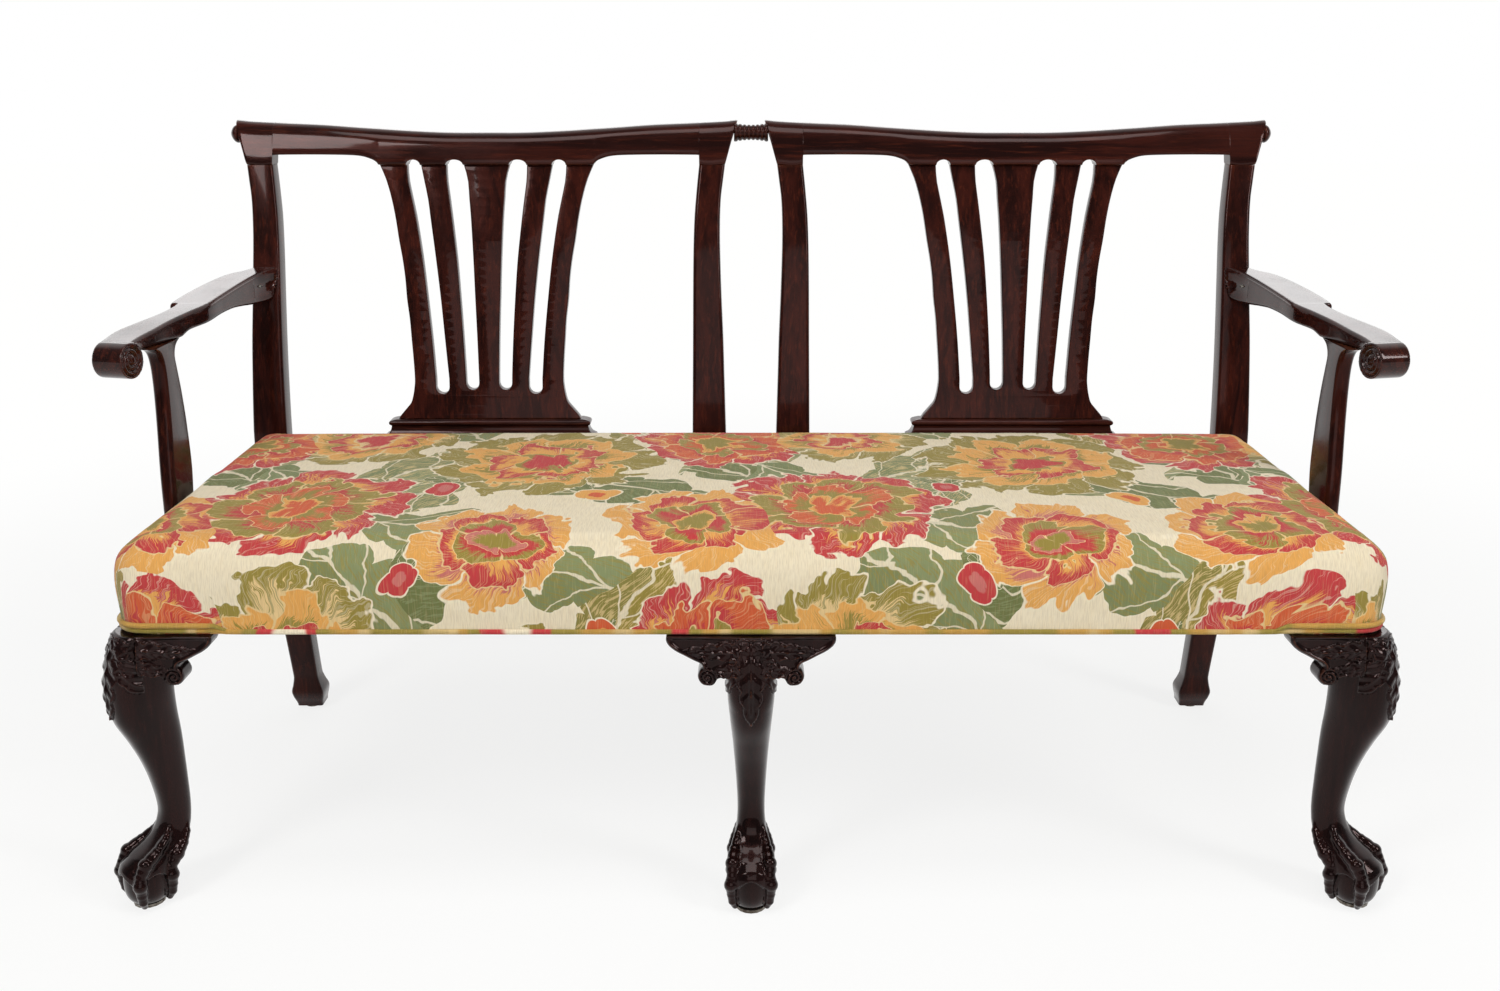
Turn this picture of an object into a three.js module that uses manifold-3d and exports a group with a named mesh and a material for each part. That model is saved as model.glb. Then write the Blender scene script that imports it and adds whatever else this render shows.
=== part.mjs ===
// Georgian double chair-back settee in mahogany with an upholstered seat.
// Millimetres, +Z up. While it is built, X = 0 is the middle of the settee, Y = 0 the wooden
// face of the front rail and Z = 0 the floor. The back leans towards +Y.
import * as THREE from "three";
import { mergeVertices } from "three/addons/utils/BufferGeometryUtils.js";
import Module from "manifold-3d";

const wasm = await Module();
wasm.setup();

// Fits
const GLUE_GAP = 0.3;
const OVERRUN = 2;
const TENON_LENGTH = 20;
const TENON_THICK = 10;

// Seat frame
const SEAT_DEPTH = 500;
const SEAT_FRONT_HALF = 747;
const SEAT_NARROWING = 12;
const SEAT_REAR_HALF = SEAT_FRONT_HALF - SEAT_NARROWING;
const RAIL_BOTTOM = 357;
const RAIL_HEIGHT = 83;
const RAIL_TOP = RAIL_BOTTOM + RAIL_HEIGHT;
const RAIL_THICK = 30;
const REAR_RAIL_TOP = 458;
const TENON_SHOULDER = 12;
const CROSS_RAIL_WIDTH = 32;
const CROSS_RAIL_HEIGHT = 58;
const BLOCK_REACH = 62;
const BLOCK_HEIGHT = 45;
const BLOCK_DROP = 12;

// Front legs
const POST_SIZE = 48;
const POST_HALF = POST_SIZE / 2;
const POST_CORNER = 28;
const LEG_TOP = RAIL_BOTTOM - GLUE_GAP;
const KNEE_REACH = 56;
const LEG_BACK = 24;
const ANKLE_HALF = 17.5;
const KNEE_HALF = 29;
const FOOT_OUT = 39.6;
const BALL_RADIUS = 31;
const BALL_CENTRE_HEIGHT = 33;
const TOE_REACH = 33;
const TOE_RADIUS = 8.5;
const GLIDE_RADIUS = 19;
const GLIDE_HEIGHT = 4;

// Knee brackets
const BRACKET_WIDTH = 70;
const BRACKET_HEIGHT = 62;
const BRACKET_THICK = 30;
const BRACKET_PROUD = 12;

// Rear posts, each one board from the floor to the crest
const POST_DEPTH = 33;
const REAR_LEG_WIDTH = 38;
const REAR_FOOT_WIDTH = 50;
const REAR_FOOT_HEIGHT = 56;
const REAR_FOOT_LEAN = 50;
const REAR_FOOT_INWARD = 6;
const REAR_GLIDE_RADIUS = 12;

// Chair backs
const POST_STANDOUT = 6.6;
const MIDDLE_GAP_HALF = 37.4;
const BACK_CENTRE = (SEAT_REAR_HALF + POST_STANDOUT + MIDDLE_GAP_HALF) / 2;
const BACK_BASE = 473;
const BACK_TOP = 917;
const BACK_RAKE = 106;
const CREST_HEIGHT = 63;
const BACK_JOINT = BACK_TOP - CREST_HEIGHT;
const STILE_BASE_WIDTH = 49.8;
const STILE_BASE_OUTER = BACK_CENTRE - MIDDLE_GAP_HALF;
const STILE_BASE_INNER = STILE_BASE_OUTER - STILE_BASE_WIDTH;
const CREST_OVERHANG = 17.9;
const CREST_END_HALF = STILE_BASE_OUTER + CREST_OVERHANG;
const CREST_DEPTH = 30;
const CREST_UNDER_DROP = 49;
const CREST_UNDERSIDE = BACK_TOP - CREST_UNDER_DROP;
const CREST_MIDDLE_DROP = 18;
const CREST_MIDDLE_TOP = BACK_TOP - CREST_MIDDLE_DROP;
const CREST_CORNER_RADIUS = 13;
const CREST_FALL_REACH = 38;
const SPLAT_TOP_HALF = 157.6;
const SPLAT_BOTTOM = 489;
const SPLAT_SETBACK = 8;
const SPLAT_DEPTH = 15;
const SLOT_TOP_RISE = 7;
const SHOE_BASE_HALF = 158;
const SHOE_TOP_HALF = 139;
const SHOE_DEPTH = 32;
const SHOE_TONGUE = 8;

// Spool and bosses between and outside the crests
const SPOOL_RADIUS = 14.5;
const SPOOL_DROP = 18;
const SPOOL_HEIGHT = BACK_TOP - SPOOL_DROP;
const SPOOL_RINGS = 8;
const SPOOL_RING_DEPTH = 1.6;
const BOSS_RADIUS = 13;
const BOSS_LENGTH = 13;
const BOSS_DROP = 20;
const BOSS_HEIGHT = BACK_TOP - BOSS_DROP;

// Arms
const ARM_REAR_TOP = 712;
const ARM_FALL = 48;
const ARM_FRONT_TOP = ARM_REAR_TOP - ARM_FALL;
const ARM_REAR_THICK = 50;
const ARM_HOLD = 47.6;
const ARM_REAR_INNER = BACK_CENTRE + STILE_BASE_OUTER - ARM_HOLD;
const ARM_REAR_WIDTH = 41;
const ARM_FLARE = 29;
const ARM_FRONT_INNER = SEAT_FRONT_HALF + ARM_FLARE;
const ARM_FRONT_WIDTH = 50;
const SCROLL_RADIUS = 20;
const SCROLL_AHEAD = 293;
const SCROLL_CENTRE_Y = SEAT_DEPTH - SCROLL_AHEAD;
const CUSP_AHEAD = 128;
const CUSP_Y = SEAT_DEPTH - CUSP_AHEAD;
const CUSP_STEP = 9;

// Arm supports
const SUPPORT_THICK = 20;
const SUPPORT_FOOT = 372;
const SUPPORT_SUNK = 14;
const SUPPORT_TOP = ARM_FRONT_TOP - SUPPORT_SUNK;
const SUPPORT_AHEAD = 276;
const SUPPORT_FOOT_FRONT = SEAT_DEPTH - SUPPORT_AHEAD;
const SUPPORT_FOOT_DEPTH = 60;
const SUPPORT_LEAN = 9;

// Upholstery
const COVER_SIDE = 9;
const COVER_FRONT = 6;
const COVER_SHEET = 2.4;
const COVER_CORNER = 34;
const COVER_ROLL = 26;
const COVER_REAR_ROLL = 7;
const COVER_DRAWN_IN = 3;
const SEAT_FRONT_TOP = 467;
const SEAT_REAR_TOP = 474;
const SEAT_CROWN = 8;
const WELT_RADIUS = 3.3;
const WEB_WIDTH = 50;
const WEB_THICK = 2;
const WEB_GAP = 85;
const DUST_SHEET = 1;

// Facets
const CORNER_STEPS = 6;
const ROUND_SIDES = 12;
const SCREW_SIDES = 8;
const TURNED_SIDES = 16;
const LEG_SIDES = 12;
const KNUCKLE_SIDES = 6;
const BALL_SIDES = 9;

// Screws
const SCREW_RADIUS = 2.4;
const SCREW_HEAD_RADIUS = 4.6;
const SCREW_HEAD_HEIGHT = 3;
const BLOCK_SCREW_LENGTH = 52;
const ARM_SCREW_LENGTH = 62;

// Materials
function wood(name, colour, roughness) {
  return new THREE.MeshStandardMaterial({ name, color: colour, roughness, metalness: 0 });
}
const mahogany = () => wood("mahogany", 0x4a1f14, 0.32);
const darkMahogany = () => wood("dark_mahogany", 0x2b1310, 0.3);
const frameWood = () => wood("beech", 0xb08a5c, 0.75);
const cloth = (name, colour) => wood(name, colour, 0.95);
function metal(name, colour) {
  return new THREE.MeshStandardMaterial({ name, color: colour, roughness: 0.45, metalness: 1 });
}
const screwSteel = () => metal("steel", 0x8b8780);
const glideNickel = () => metal("nickel", 0x6b6761);

const settee = new THREE.Group();

function add(name, geometry, material) {
  const mesh = new THREE.Mesh(geometry, material);
  mesh.name = name;
  settee.add(mesh);
  return mesh;
}

// Closed solids for joining and cutting
function closed(geometry) {
  const bare = geometry.index ? geometry.toNonIndexed() : geometry.clone();
  bare.deleteAttribute("normal");
  bare.deleteAttribute("uv");
  return mergeVertices(bare, GLUE_GAP / 1000);
}

function toSolid(geometry) {
  const merged = closed(geometry);
  const vertProperties = new Float32Array(merged.attributes.position.array);
  const triVerts = new Uint32Array(merged.index.array);
  return new wasm.Manifold(new wasm.Mesh({ numProp: 3, vertProperties, triVerts }));
}

function toGeometry(solid) {
  const mesh = solid.getMesh();
  const geometry = new THREE.BufferGeometry();
  geometry.setAttribute("position", new THREE.BufferAttribute(new Float32Array(mesh.vertProperties), 3));
  geometry.setIndex(Array.from(mesh.triVerts));
  geometry.computeVertexNormals();
  return geometry;
}

function cut(base, ...tools) {
  return toGeometry(tools.reduce((solid, tool) => solid.subtract(toSolid(tool)), toSolid(base)));
}

function join(base, ...pieces) {
  return toGeometry(pieces.reduce((solid, piece) => solid.add(toSolid(piece)), toSolid(base)));
}

function common(one, other) {
  return toGeometry(toSolid(one).intersect(toSolid(other)));
}

// Simple blanks
function box(x0, x1, y0, y1, z0, z1) {
  const geometry = new THREE.BoxGeometry(x1 - x0, y1 - y0, z1 - z0);
  return geometry.translate((x0 + x1) / 2, (y0 + y1) / 2, (z0 + z1) / 2);
}

// A round bar from y = 0 towards +Y
function rod(radius, length, sides) {
  return new THREE.CylinderGeometry(radius, radius, length, sides).translate(0, length / 2, 0);
}

function outline(points) {
  return new THREE.Shape(points.map(([a, b]) => new THREE.Vector2(a, b)));
}

// A board cut to an outline drawn in X and Z, between two depths
function frontBoard(points, y0, y1) {
  const geometry = new THREE.ExtrudeGeometry(outline(points), { depth: y1 - y0, bevelEnabled: false });
  return geometry.rotateX(Math.PI / 2).translate(0, y1, 0);
}

// A board cut to an outline drawn in Y and Z, between two sides
function sideBoard(points, x0, x1) {
  const geometry = new THREE.ExtrudeGeometry(outline(points), { depth: x1 - x0, bevelEnabled: false });
  const turned = new THREE.Matrix4().makeBasis(
    new THREE.Vector3(0, 1, 0), new THREE.Vector3(0, 0, 1), new THREE.Vector3(1, 0, 0));
  return geometry.applyMatrix4(turned).translate(x0, 0, 0);
}

// A board cut to an outline drawn in X and Y, between two heights
function flatBoard(points, z0, z1) {
  const geometry = new THREE.ExtrudeGeometry(outline(points), { depth: z1 - z0, bevelEnabled: false });
  return geometry.translate(0, 0, z0);
}

function mirrored(geometry) {
  const copy = closed(geometry).scale(-1, 1, 1);
  const index = Array.from(copy.index.array);
  for (let i = 0; i < index.length; i += 3) {
    [index[i], index[i + 1]] = [index[i + 1], index[i]];
  }
  copy.setIndex(index);
  copy.computeVertexNormals();
  return copy;
}

function moved(geometry, x, y, z) {
  return geometry.clone().translate(x, y, z);
}

// Adds one piece on the right and its mirror image on the left
function addPair(name, geometry, material) {
  add(`${name}_right`, geometry, material());
  add(`${name}_left`, mirrored(geometry), material());
}

// A closed skin through rings of points, with a fan over the first and the last ring
function loft(rings) {
  const count = rings[0].length;
  const positions = rings.flat(2);
  const index = [];
  for (let r = 0; r + 1 < rings.length; r += 1) {
    for (let k = 0; k < count; k += 1) {
      const a = r * count + k;
      const b = r * count + (k + 1) % count;
      index.push(a, b, a + count, b, b + count, a + count);
    }
  }
  const fan = (start, turned) => {
    const middle = [0, 0, 0];
    const ring = rings[start / count];
    ring.forEach((p) => p.forEach((value, axis) => { middle[axis] += value / count; }));
    positions.push(...middle);
    const hub = positions.length / 3 - 1;
    for (let k = 0; k < count; k += 1) {
      const a = start + k;
      const b = start + (k + 1) % count;
      index.push(...(turned ? [hub, b, a] : [hub, a, b]));
    }
  };
  fan(0, true);
  fan((rings.length - 1) * count, false);
  const geometry = new THREE.BufferGeometry();
  geometry.setAttribute("position", new THREE.BufferAttribute(new Float32Array(positions), 3));
  geometry.setIndex(index);
  return facingOut(geometry);
}

function facingOut(geometry) {
  const p = geometry.attributes.position;
  const index = Array.from(geometry.index.array);
  const corner = (i) => new THREE.Vector3().fromBufferAttribute(p, index[i]);
  let volume = 0;
  for (let i = 0; i < index.length; i += 3) {
    volume += corner(i).dot(corner(i + 1).cross(corner(i + 2)));
  }
  if (volume < 0) {
    for (let i = 0; i < index.length; i += 3) {
      [index[i], index[i + 1]] = [index[i + 1], index[i]];
    }
    geometry.setIndex(index);
  }
  geometry.computeVertexNormals();
  return geometry;
}

// A smooth curve through a table of pairs: the value at a place
function through(pairs) {
  return (place) => {
    const last = pairs.length - 1;
    if (place <= pairs[0][0]) return pairs[0][1];
    if (place >= pairs[last][0]) return pairs[last][1];
    const i = pairs.findIndex((pair) => pair[0] > place) - 1;
    const [x0, y0] = pairs[i];
    const [x1, y1] = pairs[i + 1];
    const slope = (a, b) => (b[1] - a[1]) / (b[0] - a[0]);
    const here = slope(pairs[i], pairs[i + 1]);
    const before = i > 0 ? (slope(pairs[i - 1], pairs[i]) + here) / 2 : here;
    const after = i + 2 <= last ? (slope(pairs[i + 1], pairs[i + 2]) + here) / 2 : here;
    const t = (place - x0) / (x1 - x0);
    const width = x1 - x0;
    const blend = t * t * (3 - 2 * t);
    const lift = t * (1 - t) * ((1 - t) * before - t * after) * width;
    return y0 + (y1 - y0) * blend + lift;
  };
}

function steps(from, to, count) {
  return Array.from({ length: count + 1 }, (_, i) => from + (to - from) * i / count);
}

// How far the back leans at a height, and how far the rear legs run out behind it
const RAKE_POWER = 1.35;
const LEG_LEAN_POWER = 1.7;
function rake(z) {
  const up = Math.max(0, (z - RAIL_TOP) / (BACK_TOP - RAIL_TOP));
  const down = Math.max(0, (RAIL_BOTTOM - z) / RAIL_BOTTOM);
  return BACK_RAKE * up ** RAKE_POWER + REAR_FOOT_LEAN * down ** LEG_LEAN_POWER;
}

function raked(geometry) {
  const merged = closed(geometry);
  const p = merged.attributes.position;
  for (let i = 0; i < p.count; i += 1) {
    p.setY(i, p.getY(i) + rake(p.getZ(i)));
  }
  merged.computeVertexNormals();
  return merged;
}

// Tenons and the mortises that take them: a mortise is its tenon with the glue gap all round
function grown(x0, x1, y0, y1, z0, z1) {
  const g = GLUE_GAP;
  return box(x0 - g, x1 + g, y0 - g, y1 + g, z0 - g, z1 + g);
}

// Seat rails
const postInner = SEAT_FRONT_HALF - POST_SIZE;
const tenonLow = RAIL_BOTTOM + TENON_SHOULDER;
const tenonHigh = RAIL_TOP - TENON_SHOULDER;
const tenonFront = (RAIL_THICK - TENON_THICK) / 2;
const frontTenons = [
  [postInner - GLUE_GAP - OVERRUN, postInner + TENON_LENGTH],
  [POST_HALF - TENON_LENGTH / 2, POST_HALF + GLUE_GAP + OVERRUN],
].map(([x0, x1]) => [x0, x1, tenonFront, tenonFront + TENON_THICK, tenonLow, tenonHigh]);
const frontMortises = frontTenons.map((tenon) => grown(...tenon));

const frontRail = join(
  box(POST_HALF + GLUE_GAP, postInner - GLUE_GAP, 0, RAIL_THICK, RAIL_BOTTOM, RAIL_TOP),
  ...frontTenons.map((tenon) => box(...tenon)));
addPair("front_rail", frontRail, frameWood);

function sideOuter(y) {
  return SEAT_FRONT_HALF + (SEAT_REAR_HALF - SEAT_FRONT_HALF) * (y / SEAT_DEPTH);
}

function sideStrip(offset, width, y0, y1) {
  const near = sideOuter(y0) - offset;
  const far = sideOuter(y1) - offset;
  return [[near - width, y0], [near, y0], [far, y1], [far - width, y1]];
}

const sideTenonPlan = sideStrip(
  (RAIL_THICK - TENON_THICK) / 2, TENON_THICK, POST_SIZE - TENON_LENGTH / 2, SEAT_DEPTH + TENON_LENGTH);
const sideMortisePlan = sideStrip(
  (RAIL_THICK - TENON_THICK) / 2 - GLUE_GAP, TENON_THICK + 2 * GLUE_GAP,
  POST_SIZE - TENON_LENGTH / 2 - GLUE_GAP, SEAT_DEPTH + TENON_LENGTH + GLUE_GAP);
const sideMortise = flatBoard(sideMortisePlan, tenonLow - GLUE_GAP, tenonHigh + GLUE_GAP);
const sideRailPlain = join(
  flatBoard(sideStrip(0, RAIL_THICK, POST_SIZE + GLUE_GAP, SEAT_DEPTH - GLUE_GAP), RAIL_BOTTOM, RAIL_TOP),
  flatBoard(sideTenonPlan, tenonLow, tenonHigh));

const rearPostOuter = BACK_CENTRE + STILE_BASE_OUTER;
const rearPostInner = BACK_CENTRE + STILE_BASE_INNER;
const rearTenonFront = SEAT_DEPTH + (POST_DEPTH - TENON_THICK) / 2;
const rearTenonEnd = rearPostInner + TENON_LENGTH;
const rearTenon = [
  -rearTenonEnd, rearTenonEnd, rearTenonFront, rearTenonFront + TENON_THICK, tenonLow, tenonHigh];
const rearRailBlank = join(
  box(-rearPostInner + GLUE_GAP, rearPostInner - GLUE_GAP, SEAT_DEPTH, SEAT_DEPTH + RAIL_THICK,
    RAIL_BOTTOM, REAR_RAIL_TOP),
  box(...rearTenon));

const crossFront = POST_SIZE + GLUE_GAP;
const crossBottom = RAIL_BOTTOM + TENON_SHOULDER;
add("cross_rail", box(-CROSS_RAIL_WIDTH / 2, CROSS_RAIL_WIDTH / 2, crossFront, SEAT_DEPTH - GLUE_GAP,
  crossBottom, crossBottom + CROSS_RAIL_HEIGHT), frameWood());

// Screws lie along Y with the underside of the head at the origin
function screwGeometry(length) {
  const profile = [
    [0, -SCREW_HEAD_HEIGHT], [SCREW_HEAD_RADIUS, -SCREW_HEAD_HEIGHT], [SCREW_HEAD_RADIUS, 0],
    [SCREW_RADIUS, 0], [SCREW_RADIUS, length - SCREW_HEAD_RADIUS], [0, length],
  ];
  return new THREE.LatheGeometry(profile.map(([r, y]) => new THREE.Vector2(r, y)), SCREW_SIDES);
}

function screwHole(length) {
  const profile = [
    [0, -OVERRUN], [SCREW_RADIUS + GLUE_GAP, -OVERRUN], [SCREW_RADIUS + GLUE_GAP, length + GLUE_GAP],
    [0, length + GLUE_GAP],
  ];
  return new THREE.LatheGeometry(profile.map(([r, y]) => new THREE.Vector2(r, y)), SCREW_SIDES);
}

// Corner blocks and the screws that pull them into the side rails
const blockLow = RAIL_BOTTOM + BLOCK_DROP;
const blockHigh = blockLow + BLOCK_HEIGHT;
function frontBlockPlan() {
  const g = GLUE_GAP;
  const inner = (y) => sideOuter(y) - RAIL_THICK - g;
  const reachY = POST_SIZE + BLOCK_REACH;
  return [
    [postInner - g, RAIL_THICK + g], [postInner - g, POST_SIZE + g], [inner(POST_SIZE), POST_SIZE + g],
    [inner(reachY), reachY], [postInner - BLOCK_REACH, RAIL_THICK + g],
  ];
}
function rearBlockPlan() {
  const g = GLUE_GAP;
  const inner = (y) => sideOuter(y) - RAIL_THICK - g;
  const back = SEAT_DEPTH - g;
  const front = back - BLOCK_REACH;
  return [[inner(front), front], [inner(back), back], [inner(back) - BLOCK_REACH, back]];
}
const blockMiddle = (blockLow + blockHigh) / 2;
const SCREW_START_share = 0.42;
function blockScrewPlace(cornerX, cornerY, along) {
  const reach = BLOCK_REACH * SCREW_START_share;
  return { x: cornerX - reach, y: cornerY + along * reach };
}
const blockScrews = [
  ["front", blockScrewPlace(sideOuter(POST_SIZE) - RAIL_THICK, POST_SIZE, 1)],
  ["rear", blockScrewPlace(sideOuter(SEAT_DEPTH) - RAIL_THICK, SEAT_DEPTH, -1)],
];
function placedAlongX(geometry, x, y, z) {
  return geometry.clone().rotateZ(-Math.PI / 2).translate(x, y, z);
}
const blockPlans = { front: frontBlockPlan(), rear: rearBlockPlan() };
const blockHoles = [];
const boreClear = SCREW_HEAD_RADIUS + GLUE_GAP;
for (const [end, place] of blockScrews) {
  const hole = placedAlongX(screwHole(BLOCK_SCREW_LENGTH), place.x, place.y, blockMiddle);
  const seatForHead = placedAlongX(
    rod(boreClear, BLOCK_REACH, ROUND_SIDES).translate(0, -BLOCK_REACH, 0),
    place.x, place.y, blockMiddle);
  blockHoles.push(hole);
  const block = cut(flatBoard(blockPlans[end], blockLow, blockHigh), hole, seatForHead);
  addPair(`${end}_corner_block`, block, frameWood);
  const screwBody = screwGeometry(BLOCK_SCREW_LENGTH - GLUE_GAP);
  const screw = placedAlongX(screwBody, place.x - GLUE_GAP, place.y, blockMiddle);
  addPair(`${end}_block_screw`, screw, screwSteel);
}

// Front legs. Each row is a height share of the leg, then how far the front and the back of the
// leg lie from the post's middle and its half width, as shares of the knee's reach and half width.
const LEG_ROW_shares = [
  [1.0, 0.6, 0.43, 0.95], [0.955, 0.76, 0.43, 1.0], [0.9, 0.9, 0.42, 1.0], [0.835, 0.98, 0.4, 1.0],
  [0.77, 1.0, 0.37, 0.97], [0.69, 0.93, 0.38, 0.88], [0.6, 0.68, 0.42, 0.78], [0.51, 0.46, 0.43, 0.7],
  [0.42, 0.32, 0.435, 0.63], [0.325, 0.25, 0.43, 0.585], [0.265, 0.33, 0.38, 0.62], [0.22, 0.56, 0.25, 0.72],
];
const KNEE_SQUARENESS = 2.5;

function legRing(z, front, back, half, outward) {
  const middle = (front - back) / 2;
  const reach = (front + back) / 2;
  const across = [-outward[1], outward[0]];
  return Array.from({ length: LEG_SIDES }, (_, k) => {
    const angle = 2 * Math.PI * k / LEG_SIDES;
    const power = 2 / KNEE_SQUARENESS;
    const c = Math.sign(Math.cos(angle)) * Math.abs(Math.cos(angle)) ** power;
    const s = Math.sign(Math.sin(angle)) * Math.abs(Math.sin(angle)) ** power;
    const out = middle + reach * c;
    const side = half * s;
    return [outward[0] * out + across[0] * side, outward[1] * out + across[1] * side, z];
  });
}

// An egg shape stretched from one point to another, as a knuckle of a claw
const KNUCKLE_OVERLAP = 1.3;
function knuckle(from, to, radius) {
  const a = new THREE.Vector3(...from);
  const b = new THREE.Vector3(...to);
  const half = a.distanceTo(b) / 2;
  const egg = new THREE.SphereGeometry(radius, KNUCKLE_SIDES, KNUCKLE_SIDES - 2)
    .scale(1, half * KNUCKLE_OVERLAP / radius, 1);
  const turn = new THREE.Quaternion().setFromUnitVectors(
    new THREE.Vector3(0, 1, 0), b.clone().sub(a).normalize());
  const middle = a.add(b).multiplyScalar(1 / 2);
  return egg.applyQuaternion(turn).translate(middle.x, middle.y, middle.z);
}

// A claw runs from the ankle over the ball: distance from the ball's middle as a share of the
// toe's reach, then height as a share of the ball's top
const CLAW_shares = [[0.2, 1.38], [0.9, 1.05], [1.06, 0.56], [0.9, 0.16]];
const CLAW_THICK_shares = [1.15, 1.05, 0.85];

function foot(outward) {
  const facing = Math.atan2(outward[1], outward[0]);
  const x = outward[0] * FOOT_OUT;
  const y = outward[1] * FOOT_OUT;
  const ballTop = BALL_CENTRE_HEIGHT + BALL_RADIUS;
  const pieces = [];
  for (const turn of [1, 3, 5, 7]) {
    const angle = facing + turn * Math.PI / 4;
    const points = CLAW_shares.map(([reach, height]) => [
      x + Math.cos(angle) * reach * TOE_REACH, y + Math.sin(angle) * reach * TOE_REACH, height * ballTop]);
    for (let i = 0; i + 1 < points.length; i += 1) {
      pieces.push(knuckle(points[i], points[i + 1], TOE_RADIUS * CLAW_THICK_shares[i]));
    }
  }
  const ball = new THREE.SphereGeometry(BALL_RADIUS, BALL_SIDES, BALL_SIDES - 4)
    .translate(x, y, BALL_CENTRE_HEIGHT);
  return { ball, pieces };
}

// The corner posts are rounded on their outer corner under the upholstery
function roundedCorner(half, front, radius, gap) {
  return steps(0, Math.PI / 2, CORNER_STEPS).map((angle) => [
    half - radius + (radius + gap) * Math.sin(angle), front + radius - (radius + gap) * Math.cos(angle)]);
}

function cornerPost() {
  const points = [
    ...roundedCorner(POST_HALF, -POST_HALF, POST_CORNER, 0), [POST_HALF, POST_HALF], [-POST_HALF, POST_HALF],
    [-POST_HALF, -POST_HALF]];
  return flatBoard(points, LEG_TOP - TENON_LENGTH, RAIL_TOP);
}

const squarePost = box(-POST_HALF, POST_HALF, -POST_HALF, POST_HALF, LEG_TOP - TENON_LENGTH, RAIL_TOP);

function frontLeg(postX, outward, post) {
  const rings = LEG_ROW_shares.map(([height, front, back, half]) => legRing(
    LEG_TOP * height, front * KNEE_REACH, back * KNEE_REACH, half * KNEE_HALF, outward));
  const anklePart = LEG_ROW_shares[LEG_ROW_shares.length - 1];
  const ballTop = BALL_CENTRE_HEIGHT + BALL_RADIUS;
  const neck = legRing(ballTop - TOE_RADIUS, FOOT_OUT + ANKLE_HALF, ANKLE_HALF - FOOT_OUT / 2,
    anklePart[3] * KNEE_HALF, outward);
  const { ball, pieces } = foot(outward);
  const leg = join(loft([...rings, neck]), post, ball, ...pieces);
  const under = box(-SEAT_FRONT_HALF, SEAT_FRONT_HALF, -SEAT_FRONT_HALF, SEAT_FRONT_HALF,
    -SEAT_FRONT_HALF, GLIDE_HEIGHT + GLUE_GAP);
  return moved(cut(leg, under), postX, POST_HALF, 0);
}

const cornerPostX = SEAT_FRONT_HALF - POST_HALF;
const diagonal = Math.SQRT1_2;
const cornerLegBlank = frontLeg(cornerPostX, [diagonal, -diagonal], cornerPost());
addPair("front_leg", cut(cornerLegBlank, frontMortises[0], sideMortise), darkMahogany);
const mirroredMortise = mirrored(frontMortises[1]);
const centreLeg = frontLeg(0, [0, -1], squarePost);
add("front_leg_centre", cut(centreLeg, frontMortises[1], mirroredMortise), darkMahogany());

function glide(name, x, y, radius) {
  const disc = new THREE.CylinderGeometry(radius, radius, GLIDE_HEIGHT, TURNED_SIDES);
  return add(name, disc.rotateX(Math.PI / 2).translate(x, y, GLIDE_HEIGHT / 2), glideNickel());
}
const cornerFootX = cornerPostX + diagonal * FOOT_OUT;
const cornerFootY = POST_HALF - diagonal * FOOT_OUT;
glide("front_glide_left", -cornerFootX, cornerFootY, GLIDE_RADIUS);
glide("front_glide_centre", 0, POST_HALF - FOOT_OUT, GLIDE_RADIUS);
glide("front_glide_right", cornerFootX, cornerFootY, GLIDE_RADIUS);

// Knee brackets: half of a C-scroll under the rail, ending in a dropping volute beside the leg
const BRACKET_OUTLINE_shares = [
  [1, 1], [1, 0.88], [0.89, 0.72], [0.68, 0.59], [0.45, 0.445], [0.42, 0.38], [0.49, 0.27], [0.49, 0.12],
  [0.42, 0.03], [0.32, 0], [0.22, 0.03], [0.16, 0.12], [0.12, 0.2], [0, 0.2], [0, 1],
];
function bracketOutline(start) {
  const bottom = LEG_TOP - BRACKET_HEIGHT;
  return BRACKET_OUTLINE_shares.map(
    ([along, up]) => [start + along * BRACKET_WIDTH, bottom + up * BRACKET_HEIGHT]);
}
const bracketStart = KNEE_HALF + GLUE_GAP;
const bracketBack = BRACKET_THICK - BRACKET_PROUD;
const centreBracket = frontBoard(bracketOutline(bracketStart), -BRACKET_PROUD, bracketBack);
addPair("centre_knee_bracket", centreBracket, darkMahogany);

// Beside a corner leg the bracket is scribed to the leg's side
function scribed(bracket) {
  const clearance = GLUE_GAP * 2;
  const shifts = [[clearance, 0], [-clearance, 0], [0, clearance], [0, -clearance], [0, 0]];
  const blanks = shifts.map(([x, y]) => moved(cornerLegBlank, x, y, 0));
  return cut(bracket, ...blanks);
}
const cornerReach = POST_HALF - KNEE_HALF / 2;
const cornerFrontBracket = scribed(mirrored(frontBoard(bracketOutline(0), -BRACKET_PROUD, bracketBack))
  .translate(cornerPostX - cornerReach, 0, 0));
addPair("corner_front_bracket", cornerFrontBracket, darkMahogany);
const sideBracketOuter = SEAT_FRONT_HALF + BRACKET_PROUD;
const sideBracketInner = sideBracketOuter - BRACKET_THICK;
const cornerSideBracket = scribed(sideBoard(bracketOutline(0), sideBracketInner, sideBracketOuter)
  .translate(0, POST_HALF + cornerReach, 0));
addPair("corner_side_bracket", cornerSideBracket, darkMahogany);
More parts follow.
